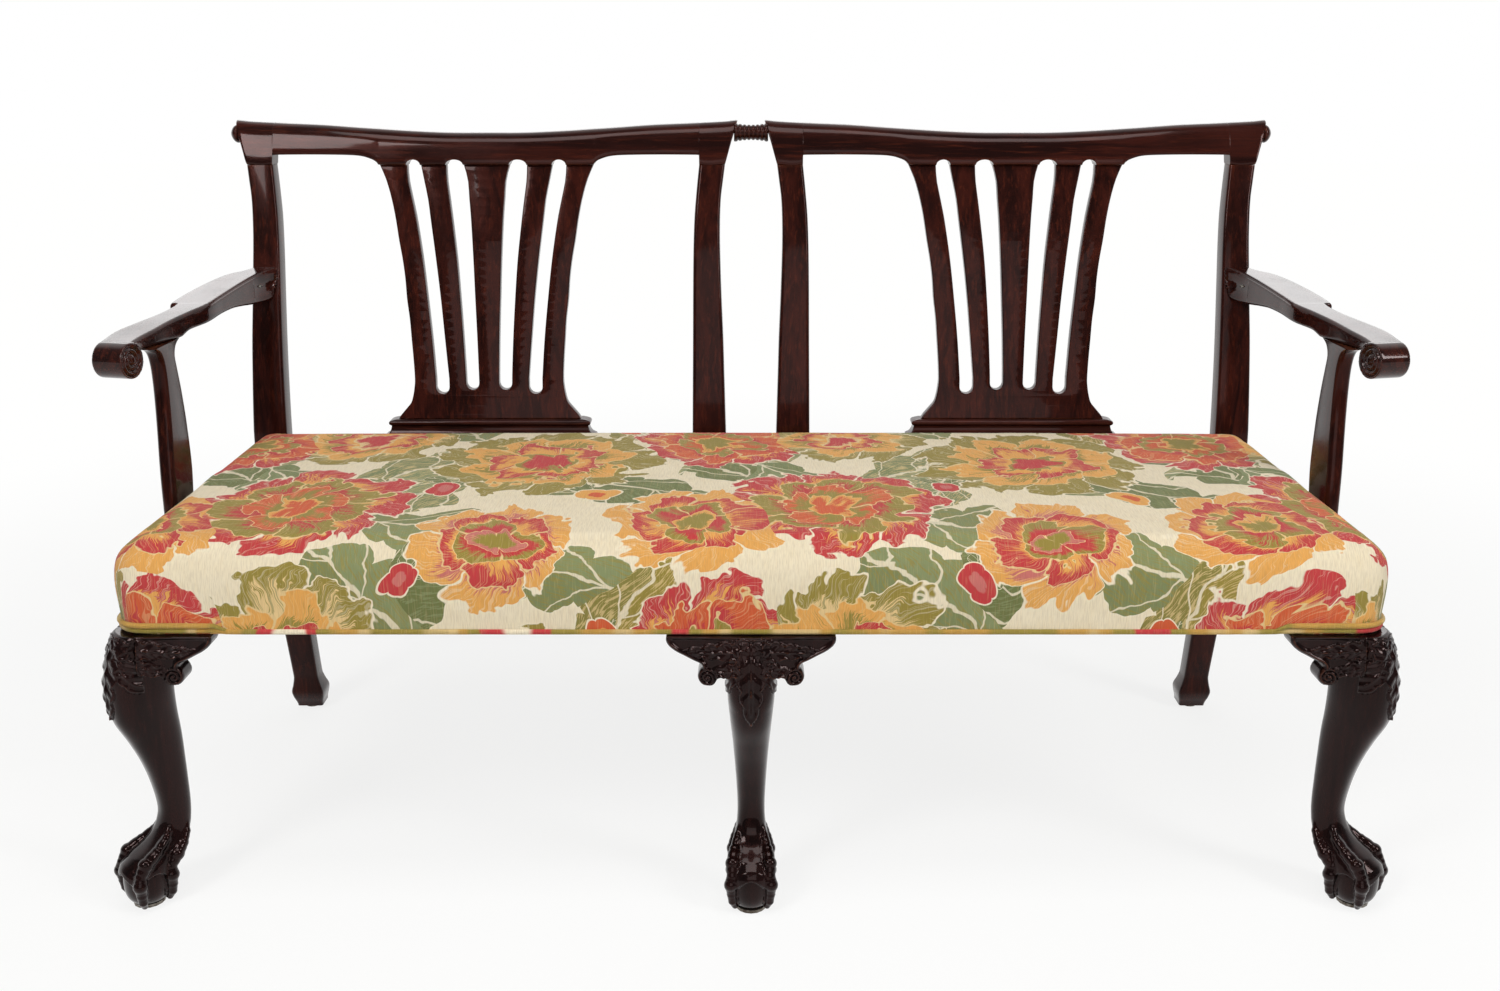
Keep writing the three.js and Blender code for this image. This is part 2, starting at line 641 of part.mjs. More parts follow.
// Stiles: half distances from the middle of a chair back, as shares of those at the seat
const STILE_OUTER_shares = [
  [0, 1], [0.2, 0.994], [0.35, 0.9895], [0.5, 0.983], [0.65, 0.977], [0.76, 0.9755], [0.87, 0.9795],
  [0.94, 0.989], [1, 0.998],
];
const STILE_INNER_shares = [[0, 1], [0.3, 1.0036], [0.65, 1.007], [0.8, 1.0126], [0.9, 1.023], [1, 1.0357]];
const stileOuter = through(STILE_OUTER_shares);
const stileInner = through(STILE_INNER_shares);
const STILE_STEPS = 12;
const stileHeights = steps(BACK_BASE, BACK_JOINT - GLUE_GAP, STILE_STEPS);
const backShare = (z) => (z - BACK_BASE) / (BACK_JOINT - BACK_BASE);

function stileEdges() {
  const outer = stileHeights.map((z) => [STILE_BASE_OUTER * stileOuter(backShare(z)), z]);
  const inner = stileHeights.map((z) => [STILE_BASE_INNER * stileInner(backShare(z)), z]);
  return { outer, inner };
}

const stileTopOuter = STILE_BASE_OUTER * stileOuter(1);
const stileTopInner = STILE_BASE_INNER * stileInner(1);
const stileTopMiddle = (stileTopOuter + stileTopInner) / 2;
const stileTenon = [
  stileTopMiddle - TENON_SHOULDER, stileTopMiddle + TENON_SHOULDER,
  (POST_DEPTH - TENON_THICK) / 2, (POST_DEPTH + TENON_THICK) / 2,
  BACK_JOINT - TENON_LENGTH / 2, BACK_JOINT + TENON_LENGTH,
];

// Rear post: the leg, the part behind the seat and the outer stile in one board
const REAR_LEG_shares = [[0, 0.06], [0.25, 0.1], [0.6, 0.45], [0.85, 0.85], [1, 1]];
const rearLegBlend = through(REAR_LEG_shares);
const LEG_STEPS = 8;
const REAR_FOOT_shares = [[0, 0.74], [0.28, 0.9], [0.5, 1], [0.75, 0.82], [1.05, 0.66]];
const stileWidth = STILE_BASE_OUTER - STILE_BASE_INNER;

function rearPost() {
  const { outer, inner } = stileEdges();
  const shift = ([x, z]) => [x + BACK_CENTRE, z];
  const seatMiddle = (rearPostOuter + rearPostInner) / 2;
  const legHeights = steps(REAR_FOOT_HEIGHT, RAIL_BOTTOM, LEG_STEPS);
  const row = (z, side) => {
    const blend = rearLegBlend(z / RAIL_BOTTOM);
    const half = (REAR_LEG_WIDTH + (stileWidth - REAR_LEG_WIDTH) * blend) / 2;
    return [seatMiddle - REAR_FOOT_INWARD * (1 - blend) + side * half, z];
  };
  const points = [
    ...legHeights.map((z) => row(z, 1)), ...outer.map(shift),
    ...inner.map(shift).reverse(), ...legHeights.map((z) => row(z, -1)).reverse(),
  ];
  const board = frontBoard(points, 0, POST_DEPTH);
  const footX = row(REAR_FOOT_HEIGHT, 0)[0];
  const block = loft(REAR_FOOT_shares.map(([up, wide]) => {
    const half = REAR_FOOT_WIDTH * wide / 2;
    const z = GLIDE_HEIGHT + GLUE_GAP + (REAR_FOOT_HEIGHT - GLIDE_HEIGHT) * up;
    const y = POST_DEPTH / 2;
    return [[footX - half, y - half, z], [footX + half, y - half, z], [footX + half, y + half, z],
      [footX - half, y + half, z]];
  }));
  const tenon = box(...stileTenon);
  return join(raked(board), raked(block), raked(moved(tenon, BACK_CENTRE, 0, 0)));
}

function backward(geometry) {
  return moved(geometry, 0, SEAT_DEPTH, 0);
}

// Arm screws come from behind the rear posts
const armMiddleTop = (ARM_REAR_TOP + ARM_REAR_TOP - ARM_REAR_THICK) / 2;
const armRearMiddleX = ARM_REAR_INNER + ARM_REAR_WIDTH / 2;
const armScrewBack = SEAT_DEPTH + POST_DEPTH + rake(armMiddleTop) - SCREW_HEAD_RADIUS;
function placedForward(geometry, x, y, z) {
  return geometry.clone().rotateZ(Math.PI).translate(x, y, z);
}
const armScrewHole = placedForward(screwHole(ARM_SCREW_LENGTH), armRearMiddleX, armScrewBack, armMiddleTop);
const armScrewBore = placedForward(
  rod(boreClear, BLOCK_REACH, ROUND_SIDES).translate(0, -BLOCK_REACH, 0),
  armRearMiddleX, armScrewBack, armMiddleTop);
addPair("arm_screw", placedForward(
  screwGeometry(ARM_SCREW_LENGTH - GLUE_GAP), armRearMiddleX, armScrewBack + GLUE_GAP, armMiddleTop),
  screwSteel);

const rearPostSolid = cut(backward(rearPost()), sideMortise, grown(...rearTenon), armScrewHole, armScrewBore);
addPair("rear_post", rearPostSolid, mahogany);
glide("rear_glide_left", -(rearPostOuter + rearPostInner) / 2 + REAR_FOOT_INWARD,
  SEAT_DEPTH + rake(GLIDE_HEIGHT) + POST_DEPTH / 2, REAR_GLIDE_RADIUS);
glide("rear_glide_right", (rearPostOuter + rearPostInner) / 2 - REAR_FOOT_INWARD,
  SEAT_DEPTH + rake(GLIDE_HEIGHT) + POST_DEPTH / 2, REAR_GLIDE_RADIUS);

// Inner stiles stand in the rear rail
const innerTenon = [
  -STILE_BASE_OUTER + TENON_SHOULDER, -STILE_BASE_INNER - TENON_SHOULDER,
  (RAIL_THICK - TENON_THICK) / 2, (RAIL_THICK + TENON_THICK) / 2,
  REAR_RAIL_TOP - 2 * TENON_LENGTH, REAR_RAIL_TOP + TENON_LENGTH,
];
function innerStile() {
  const { outer, inner } = stileEdges();
  const turn = ([x, z]) => [-x, z];
  const base = REAR_RAIL_TOP + GLUE_GAP;
  const points = [
    [-STILE_BASE_OUTER, base], [-STILE_BASE_INNER, base], ...inner.map(turn), ...outer.map(turn).reverse()];
  const board = raked(frontBoard(points, 0, RAIL_THICK));
  const [x0, x1, ...others] = stileTenon;
  return join(board, raked(box(-x1, -x0, ...others)), box(...innerTenon));
}
addPair("inner_stile", backward(moved(innerStile(), BACK_CENTRE, 0, 0)), mahogany);

// Crest rail of one chair back, between its middle and its ends
const CREST_TOP_shares = [
  [0, 0], [0.15, 0.01], [0.3, 0.16], [0.45, 0.36], [0.6, 0.54], [0.75, 0.7], [0.88, 0.84], [1, 1]];
const crestTop = through(CREST_TOP_shares);
const CREST_STEPS = 10;
const SPLAT_EDGE_shares = [
  [0, 0.862], [0.02, 0.84], [0.045, 0.78], [0.065, 0.742], [0.09, 0.722], [0.125, 0.707], [0.16, 0.7],
  [0.24, 0.708], [0.4, 0.735], [0.55, 0.769], [0.71, 0.825], [0.79, 0.853], [0.87, 0.892],
  [0.94, 0.94], [1, 1],
];
const splatEdge = through(SPLAT_EDGE_shares);
const SLOT_shares = [
  { from: [[0.13, 0.38], [0.32, 0.407], [0.55, 0.462], [0.79, 0.526], [0.94, 0.586], [1, 0.614]],
    to: [[0.13, 0.498], [0.32, 0.529], [0.55, 0.584], [0.79, 0.662], [0.94, 0.735], [1, 0.744]] },
  { from: [[0.14, 0.097], [0.32, 0.103], [0.55, 0.121], [0.79, 0.149], [0.94, 0.177], [1, 0.214]],
    to: [[0.14, 0.212], [0.32, 0.234], [0.55, 0.271], [0.79, 0.326], [0.94, 0.372], [1, 0.377]] },
];
const SLOT_STEPS = 5;
const splatHeight = BACK_JOINT - SPLAT_BOTTOM;

// The bottom of a slot or the top of one, as half an ellipse between two edges
function roundEnd(x0, x1, z, rise) {
  const middle = (x0 + x1) / 2;
  const half = (x1 - x0) / 2;
  return steps(0, Math.PI, SLOT_STEPS).slice(1, SLOT_STEPS)
    .map((angle) => [middle - half * Math.cos(angle), z + rise * Math.sin(angle)]);
}

function slotEdge(pairs) {
  const edge = through(pairs);
  return steps(pairs[0][0], 1, SLOT_STEPS).map((share) => [
    SPLAT_TOP_HALF * edge(share), SPLAT_BOTTOM + splatHeight * share]);
}

// Slots in the right half, from the outer one inwards, as lists running down and up again
const slotPaths = SLOT_shares.map(({ from, to }) => {
  const outer = slotEdge(to);
  const inner = slotEdge(from);
  const [x1, z1] = outer[0];
  const [x0] = inner[0];
  const bottom = roundEnd(x0, x1, z1, -(x1 - x0) / 2).reverse();
  return [...outer.reverse(), ...bottom, ...inner];
});
const mirrorPath = (path) => path.map(([x, z]) => [-x, z]).reverse();

function splatBoard() {
  const edgeShares = SPLAT_EDGE_shares.map(([share]) => share);
  const right = edgeShares.map(
    (share) => [SPLAT_TOP_HALF * splatEdge(share), SPLAT_BOTTOM + splatHeight * share]);
  const top = BACK_JOINT - GLUE_GAP;
  const lower = ([x, z]) => [x, Math.min(z, top)];
  const slots = [...slotPaths, ...[...slotPaths].reverse().map(mirrorPath)].flat();
  const base = SPLAT_BOTTOM + GLUE_GAP;
  const raise = ([x, z]) => [x, Math.max(z, base)];
  const points = [...right, ...slots, ...mirrorPath(right)].map(lower).map(raise);
  const tongue = box(-SHOE_TOP_HALF + SHOE_DEPTH, SHOE_TOP_HALF - SHOE_DEPTH, 0, SPLAT_DEPTH,
    SPLAT_BOTTOM - SHOE_TONGUE, base + OVERRUN);
  return moved(join(raked(frontBoard(points, 0, SPLAT_DEPTH)), raked(tongue)), 0, SPLAT_SETBACK, 0);
}
addPair("splat", backward(moved(splatBoard(), BACK_CENTRE, 0, 0)), mahogany);

// Crest: the outline in front view, cut down to a section that rolls back at the top
const CREST_SECTION_shares = [
  [0.1, 0], [0.02, 0.35], [0, 0.55], [0.1, 0.8], [0.3, 0.95], [0.5, 1.1], [0.95, 1.1], [1, 0.7], [0.95, 0],
];
function crestBlank() {
  const top = steps(0, 1, CREST_STEPS).map((share) => [
    CREST_END_HALF * share, CREST_MIDDLE_TOP + (BACK_TOP - CREST_MIDDLE_TOP) * crestTop(share)]);
  const topSlots = slotPaths.map((path) => [path[0][0], path[path.length - 1][0]]);
  const r = CREST_CORNER_RADIUS;
  const corner = steps(0, Math.PI / 2, SLOT_STEPS).map((angle) => [
    stileTopInner - r * (1 - Math.cos(angle)), CREST_UNDERSIDE - r * (1 - Math.sin(angle))]);
  const fallReach = CREST_UNDERSIDE - BACK_JOINT;
  const fall = [...steps(0, Math.PI / 2, SLOT_STEPS)].reverse().map((angle) => [
    SPLAT_TOP_HALF + CREST_FALL_REACH * (1 - Math.cos(angle)), BACK_JOINT + fallReach * Math.sin(angle)]);
  const slots = topSlots.flatMap(([x1, x0]) => [
    [x1, BACK_JOINT], ...roundEnd(x0, x1, BACK_JOINT, SLOT_TOP_RISE).reverse(), [x0, BACK_JOINT]]);
  const right = [
    ...top.slice(1), [stileTopOuter, BACK_JOINT], [stileTopInner, BACK_JOINT],
    ...corner, ...fall, ...slots];
  return [[0, CREST_MIDDLE_TOP], ...right, ...mirrorPath(right)];
}
const crestHeight = BACK_TOP - BACK_JOINT;
const crestSection = CREST_SECTION_shares.map(
  ([deep, up]) => [CREST_DEPTH * deep, BACK_JOINT + crestHeight * up]);
const crestPlain = common(
  frontBoard(crestBlank(), -OVERRUN, CREST_DEPTH + OVERRUN),
  sideBoard(crestSection, -CREST_END_HALF - OVERRUN, CREST_END_HALF + OVERRUN));
const crestMortise = (sign) => {
  const [x0, x1, ...others] = stileTenon;
  return sign > 0 ? grown(x0, x1, ...others) : grown(-x1, -x0, ...others);
};
const crestRail = raked(cut(crestPlain, crestMortise(1), crestMortise(-1)));
addPair("crest_rail", backward(moved(crestRail, BACK_CENTRE, 0, 0)), mahogany);

// Shoes: mouldings on the rear rail that take the foot of each splat
const SHOE_shares = [
  [0, 1, 0], [0.3, 1, 0], [0.42, 0.985, 0.1], [0.6, 0.95, 0.3], [0.75, 0.91, 0.7], [1, 0.88, 1],
];
const SHOE_DRAW_IN = 5;
const shoeBase = REAR_RAIL_TOP + GLUE_GAP;
const shoeRings = SHOE_shares.map(([up, wide, drawn]) => {
  const half = SHOE_BASE_HALF * wide;
  const y0 = SHOE_DRAW_IN * drawn;
  const y1 = SHOE_DEPTH - SHOE_DRAW_IN * drawn;
  const z = shoeBase + (SPLAT_BOTTOM - shoeBase) * up;
  return [[-half, y0, z], [half, y0, z], [half, y1, z], [-half, y1, z]];
});
const tongueHalf = SHOE_TOP_HALF - SHOE_DEPTH;
const shoeSlot = grown(-tongueHalf, tongueHalf, SPLAT_SETBACK, SPLAT_SETBACK + SPLAT_DEPTH,
  SPLAT_BOTTOM - SHOE_TONGUE, SPLAT_BOTTOM + OVERRUN);
const shoe = cut(raked(loft(shoeRings)), raked(shoeSlot));
addPair("shoe", backward(moved(shoe, BACK_CENTRE, 0, 0)), mahogany);

const innerMortise = moved(grown(...innerTenon), BACK_CENTRE, SEAT_DEPTH, 0);
add("rear_rail", cut(rearRailBlank, innerMortise, mirrored(innerMortise)), frameWood());

// The slanted end of a crest rail, at a height
function crestEnd(z) {
  return stileTopOuter + (CREST_END_HALF - stileTopOuter) * (z - BACK_JOINT) / crestHeight;
}
const crestMiddleY = (z) => SEAT_DEPTH + rake(z) + CREST_DEPTH / 2;

// A turned piece along X, from pairs of place and radius
function turnedAlongX(pairs, x, y, z) {
  const profile = pairs.map(([place, radius]) => new THREE.Vector2(radius, place));
  return new THREE.LatheGeometry(profile, TURNED_SIDES).rotateZ(-Math.PI / 2).translate(x, y, z);
}

// Ringed spool between the two crests, cut to their slanted ends
const SPOOL_WAIST_share = 0.16;
const spoolLength = 2 * (BACK_CENTRE - stileTopOuter);
function spoolProfile() {
  const places = steps(-1, 1, 2 * SPOOL_RINGS);
  const rings = places.map((share, i) => [share * spoolLength / 2,
    SPOOL_RADIUS * (1 - SPOOL_WAIST_share * (1 - share * share)) - (i % 2 === 0 ? SPOOL_RING_DEPTH : 0)]);
  return [[-spoolLength / 2, 0], ...rings, [spoolLength / 2, 0]];
}
const gapEnd = (z) => BACK_CENTRE - crestEnd(z) - GLUE_GAP;
const gapWedge = frontBoard(
  [[-gapEnd(BACK_JOINT), BACK_JOINT], [gapEnd(BACK_JOINT), BACK_JOINT], [gapEnd(BACK_TOP), BACK_TOP],
    [-gapEnd(BACK_TOP), BACK_TOP]], SEAT_DEPTH, SEAT_DEPTH + BACK_RAKE + CREST_DEPTH);
const spool = turnedAlongX(spoolProfile(), 0, crestMiddleY(SPOOL_HEIGHT), SPOOL_HEIGHT);
add("crest_spool", common(spool, gapWedge),
  mahogany());

// Turned bosses on the outer ends
const BOSS_shares = [
  [-1, 0], [-1, 0.9], [0.1, 0.92], [0.2, 1], [0.35, 0.95], [0.5, 0.75], [0.75, 0.5], [0.92, 0.3], [1, 0],
];
const bossStart = BACK_CENTRE + crestEnd(BOSS_HEIGHT);
const bossBlank = turnedAlongX(
  BOSS_shares.map(([along, wide]) => [BOSS_LENGTH * along, BOSS_RADIUS * wide]),
  bossStart, crestMiddleY(BOSS_HEIGHT), BOSS_HEIGHT);
const outerEnd = (z) => BACK_CENTRE + crestEnd(z) + GLUE_GAP;
const crestSide = frontBoard(
  [[BACK_CENTRE, BACK_JOINT], [outerEnd(BACK_JOINT), BACK_JOINT], [outerEnd(BACK_TOP), BACK_TOP],
    [BACK_CENTRE, BACK_TOP]], SEAT_DEPTH, SEAT_DEPTH + BACK_RAKE + CREST_DEPTH);
addPair("crest_boss", cut(bossBlank, crestSide), mahogany);

// Arms: a side outline with the scroll, cut by a plan outline with the cusp on its outer edge
const stileFace = (z) => SEAT_DEPTH + rake(z);
const armFront = SCROLL_CENTRE_Y - SCROLL_RADIUS;
const armRear = stileFace(ARM_REAR_TOP);
const armPlace = (share) => armFront + (armRear - armFront) * share;
const ARM_INNER_shares = [
  [0, 1], [0.11, 0.98], [0.207, 0.92], [0.309, 0.82], [0.42, 0.66], [0.508, 0.52], [0.619, 0.45],
  [0.776, 0.35],
  [0.887, 0.25], [1, 0]];
const ARM_WIDTH_shares = [
  [0, 1], [0.11, 0.99], [0.207, 1.0], [0.309, 0.92], [0.42, 0.85], [0.508, 0.94], [0.619, 1.16],
  [0.776, 1.12],
  [0.887, 0.98], [1, 0.82]];
const ARM_THICK_shares = [
  [0.12, 0.36], [0.2, 0.48], [0.316, 0.56], [0.41, 0.53], [0.59, 0.53], [0.72, 0.65], [0.84, 0.84],
  [0.92, 0.92],
  [1, 1]];
const ARM_STEPS = 14;
const armInner = through(ARM_INNER_shares);
const armWidth = through(ARM_WIDTH_shares);
const armThick = through(ARM_THICK_shares);
const armInnerX = (share) => ARM_REAR_INNER + (ARM_FRONT_INNER - ARM_REAR_INNER) * armInner(share);
const armOuterX = (share) => armInnerX(share) + ARM_FRONT_WIDTH * armWidth(share);
const cuspShare = (CUSP_Y - armFront) / (armRear - armFront);

function armPlan() {
  const shares = steps(0, 1, ARM_STEPS);
  const before = shares.filter((share) => share < cuspShare);
  const after = shares.filter((share) => share > cuspShare);
  const beyond = armPlace(1) + OVERRUN;
  return [
    ...shares.map((share) => [armInnerX(share), armPlace(share)]),
    [armInnerX(1), beyond], [armOuterX(1), beyond],
    ...after.reverse().map((share) => [armOuterX(share), armPlace(share)]),
    [armOuterX(cuspShare) + CUSP_STEP / 2, CUSP_Y], [armOuterX(cuspShare) - CUSP_STEP / 2, CUSP_Y],
    ...before.reverse().map((share) => [armOuterX(share), armPlace(share)]),
  ];
}

const scrollTopShare = SCROLL_RADIUS / (armRear - armFront);
const armTopZ = (share) => ARM_FRONT_TOP + (ARM_REAR_TOP - ARM_FRONT_TOP)
  * Math.max(0, share - scrollTopShare) / (1 - scrollTopShare);
const SCROLL_STEPS = 12;
const SCROLL_END_ANGLE = Math.PI * 2.12;
function armSide() {
  const undersideShares = steps(ARM_THICK_shares[0][0], 1, ARM_STEPS);
  const centreZ = ARM_FRONT_TOP - SCROLL_RADIUS;
  const scroll = steps(Math.PI / 2, SCROLL_END_ANGLE, SCROLL_STEPS).map((angle) => [
    SCROLL_CENTRE_Y + SCROLL_RADIUS * Math.cos(angle), centreZ + SCROLL_RADIUS * Math.sin(angle)]);
  const underside = undersideShares.map((share) => [
    armPlace(share), armTopZ(share) - ARM_REAR_THICK * armThick(share)]);
  const rearLow = ARM_REAR_TOP - ARM_REAR_THICK;
  const rearFace = steps(rearLow, ARM_REAR_TOP, 4).map((z) => [stileFace(z) - GLUE_GAP, z]);
  return [...scroll, ...underside.slice(0, -2), ...rearFace];
}

const supportInnerBase = sideOuter(SUPPORT_FOOT_FRONT) + COVER_SIDE + GLUE_GAP;
const SUPPORT_LEAN_shares = [[0.2, 0], [0.39, 0.25], [0.59, 0.6], [0.875, 0.9], [1, 1]];
const supportLean = through(SUPPORT_LEAN_shares);
const supportShare = (z) => (z - SUPPORT_FOOT) / (SUPPORT_TOP - SUPPORT_FOOT);
const supportTopX = supportInnerBase + SUPPORT_LEAN;
const SUPPORT_shares = [
  [0, -0.04, 1], [0.21, 0, 1.02], [0.39, 0.16, 1.24], [0.5, 0.29, 1.32], [0.59, 0.38, 1.35],
  [0.73, 0.5, 1.35],
  [0.85, 0.55, 1.27], [0.93, 0.5, 1.24], [0.97, 0.42, 1.31], [1, 0.3, 1.46],
];
const supportY = (share) => SUPPORT_FOOT_FRONT + SUPPORT_FOOT_DEPTH * share;
const supportZ = (share) => SUPPORT_FOOT + (SUPPORT_TOP - SUPPORT_FOOT) * share;
const supportTopRow = SUPPORT_shares[SUPPORT_shares.length - 1];
const supportFace = [supportY(supportTopRow[1]), supportY(supportTopRow[2])];
const SUPPORT_TENON_share = 1 / 3;
const supportTenonInset = (supportFace[1] - supportFace[0]) * SUPPORT_TENON_share;
const supportTenonY = [supportFace[0] + supportTenonInset, supportFace[1] - supportTenonInset];
const supportTenonX = [(SUPPORT_THICK - TENON_THICK) / 2, (SUPPORT_THICK + TENON_THICK) / 2];
const supportTenonZ = [SUPPORT_TOP - OVERRUN, SUPPORT_TOP + TENON_SHOULDER];
const supportTenon = [...supportTenonX, ...supportTenonY, ...supportTenonZ];

const supportSeat = box(ARM_REAR_INNER, ARM_FRONT_INNER + ARM_FRONT_WIDTH + OVERRUN,
  supportFace[0] - GLUE_GAP, supportFace[1] + GLUE_GAP, SUPPORT_FOOT, SUPPORT_TOP + GLUE_GAP);
const armBlank = common(
  flatBoard(armPlan(), SUPPORT_FOOT, ARM_REAR_TOP + OVERRUN),
  sideBoard(armSide(), ARM_REAR_INNER - OVERRUN, ARM_FRONT_INNER + 2 * ARM_FRONT_WIDTH));
const supportMortise = moved(grown(...supportTenon), supportTopX, 0, 0);
addPair("arm", cut(armBlank, supportSeat, supportMortise, armScrewHole), mahogany);

// Arm supports, screwed from inside the side rails
function leaned(geometry) {
  const merged = closed(geometry);
  const p = merged.attributes.position;
  for (let i = 0; i < p.count; i += 1) {
    p.setX(i, p.getX(i) + SUPPORT_LEAN * supportLean(supportShare(p.getZ(i))));
  }
  merged.computeVertexNormals();
  return merged;
}
const supportOutline = [
  ...SUPPORT_shares.map(([up, , rear]) => [supportY(rear), supportZ(up)]),
  ...[...SUPPORT_shares].reverse().map(([up, front]) => [supportY(front), supportZ(up)]),
];
const supportScrewY = SUPPORT_FOOT_FRONT + SUPPORT_FOOT_DEPTH / 2;
const supportScrewHeights = [blockHigh, RAIL_TOP - TENON_SHOULDER];
const supportScrewStart = sideOuter(supportScrewY) - RAIL_THICK + SCREW_HEAD_HEIGHT;
const SCREW_BITE_share = 2 / 3;
const supportScrewLength = supportInnerBase - supportScrewStart + SUPPORT_THICK * SCREW_BITE_share;
const supportHoles = supportScrewHeights.map((z) => placedAlongX(
  screwHole(supportScrewLength), supportScrewStart, supportScrewY, z));
const supportBores = supportScrewHeights.map((z) => placedAlongX(
  rod(boreClear, BLOCK_REACH, ROUND_SIDES).translate(0, -BLOCK_REACH, 0),
  supportScrewStart, supportScrewY, z));
["lower", "upper"].forEach((level, i) => addPair(`${level}_support_screw`, placedAlongX(
  screwGeometry(supportScrewLength - GLUE_GAP), supportScrewStart - GLUE_GAP, supportScrewY,
  supportScrewHeights[i]), screwSteel));
const support = join(
  moved(leaned(sideBoard(supportOutline, 0, SUPPORT_THICK)), supportInnerBase, 0, 0),
  moved(box(...supportTenon), supportTopX, 0, 0));
addPair("arm_support", cut(support, ...supportHoles), mahogany);
addPair("side_rail", cut(sideRailPlain, ...blockHoles, ...supportHoles, ...supportBores), frameWood);

// Webbing tacked across the top of the rails, long straps and cross straps as one woven net
const WEB_LAP_share = 2 / 3;
function webbing() {
  const lap = RAIL_THICK * (1 - WEB_LAP_share);
  const z0 = RAIL_TOP + GLUE_GAP;
  const z1 = z0 + WEB_THICK;
  const pitch = WEB_WIDTH + WEB_GAP;
  const crossCount = Math.floor((SEAT_FRONT_HALF - RAIL_THICK - WEB_WIDTH) / pitch);
  const longCount = Math.floor((SEAT_DEPTH - 2 * WEB_WIDTH) / pitch);
  const straps = [];
  for (let i = -crossCount; i <= crossCount; i += 1) {
    straps.push(box(i * pitch - WEB_WIDTH / 2, i * pitch + WEB_WIDTH / 2, lap, SEAT_DEPTH - lap, z0, z1));
  }
  for (let i = 0; i <= longCount; i += 1) {
    const y = SEAT_DEPTH / 2 + (i - longCount / 2) * pitch;
    const reach = SEAT_REAR_HALF - lap;
    straps.push(box(-reach, reach, y - WEB_WIDTH / 2, y + WEB_WIDTH / 2, z0, z1));
  }
  return join(...straps);
}
add("seat_webbing", webbing(), cloth("jute", 0xa98d62));

// Plan of the upholstery: points round the outline, each with its inward direction and the radius
// of the roll at the top edge there
const SIDE_STEPS = 4;
const FRONT_STEPS = 8;
function seatPlan() {
  const half = (y) => sideOuter(y) + COVER_SIDE;
  const front = -COVER_FRONT;
  const back = SEAT_DEPTH - GLUE_GAP;
  const corner = [];
  for (const angle of steps(0, Math.PI / 2, CORNER_STEPS)) {
    const nx = Math.cos(angle);
    const ny = -Math.sin(angle);
    corner.push({
      x: half(0) - COVER_CORNER * (1 - nx), y: front + COVER_CORNER * (1 + ny), nx, ny, roll: COVER_ROLL });
  }
  const side = steps(back, front + COVER_CORNER, SIDE_STEPS).slice(0, -1)
    .map((y, i) => {
      const rear = i === 0;
      return { x: half(y), y, nx: 1, ny: rear ? 1 : 0, roll: rear ? COVER_REAR_ROLL : COVER_ROLL };
    });
  const ahead = steps(half(0) - COVER_CORNER, 0, FRONT_STEPS / 2).slice(1)
    .map((x) => ({ x, y: front, nx: 0, ny: -1, roll: COVER_ROLL }));
  const right = [...side, ...corner, ...ahead];
  const left = right.slice(0, -1).reverse().map((p) => ({ ...p, x: -p.x, nx: -p.nx }));
  const rear = steps(-half(back), half(back), FRONT_STEPS).slice(1, -1)
    .map((x) => ({ x, y: back, nx: 0, ny: 1, roll: COVER_REAR_ROLL }));
  return [...right, ...left, ...rear];
}

const ROLL_STEPS = 4;
const CROWN_shares = [0.2, 0.5, 0.8];
const SIDE_RING_shares = [0.35, 0.7, 1];
const coverLow = RAIL_BOTTOM + 2 * WELT_RADIUS + GLUE_GAP;
function seatSolid(inset, low) {
  const plan = seatPlan();
  const middleY = SEAT_DEPTH / 2;
  const bulge = (z) => 1 - Math.abs(2 * (z - coverLow) / (SEAT_FRONT_TOP - COVER_ROLL - coverLow) - 1) ** 2;
  const edge = (p, extra) => [p.x - p.nx * (inset + extra), p.y - p.ny * (inset + (p.ny < 0 ? extra : 0))];
  const topZ = (x, y) => {
    const across = 1 - (x / (SEAT_FRONT_HALF + COVER_SIDE)) ** 2;
    const along = 1 - ((y - middleY) / (middleY + COVER_FRONT)) ** 2;
    const slope = SEAT_FRONT_TOP + (SEAT_REAR_TOP - SEAT_FRONT_TOP) * y / SEAT_DEPTH;
    return slope + SEAT_CROWN * Math.max(0, across) * Math.max(0, along) - inset;
  };
  const rings = CROWN_shares.map((share) => plan.map((p) => {
    const [ex, ey] = edge(p, p.roll);
    const x = ex * share;
    const y = middleY + (ey - middleY) * share;
    return [x, y, topZ(x, y)];
  }));
  for (const angle of steps(0, Math.PI / 2, ROLL_STEPS)) {
    rings.push(plan.map((p) => {
      const roll = p.roll - inset;
      const [x, y] = edge(p, (p.roll - inset) * (1 - Math.sin(angle)));
      return [x, y, topZ(x, y) - roll * (1 - Math.cos(angle))];
    }));
  }
  for (const share of SIDE_RING_shares) {
    const z = (SEAT_FRONT_TOP - COVER_ROLL) * (1 - share) + coverLow * share;
    rings.push(plan.map((p) => {
      const [x, y] = edge(p, COVER_DRAWN_IN * (1 - bulge(z)));
      return [x, y, share === 1 ? low : z];
    }));
  }
  return loft(rings);
}

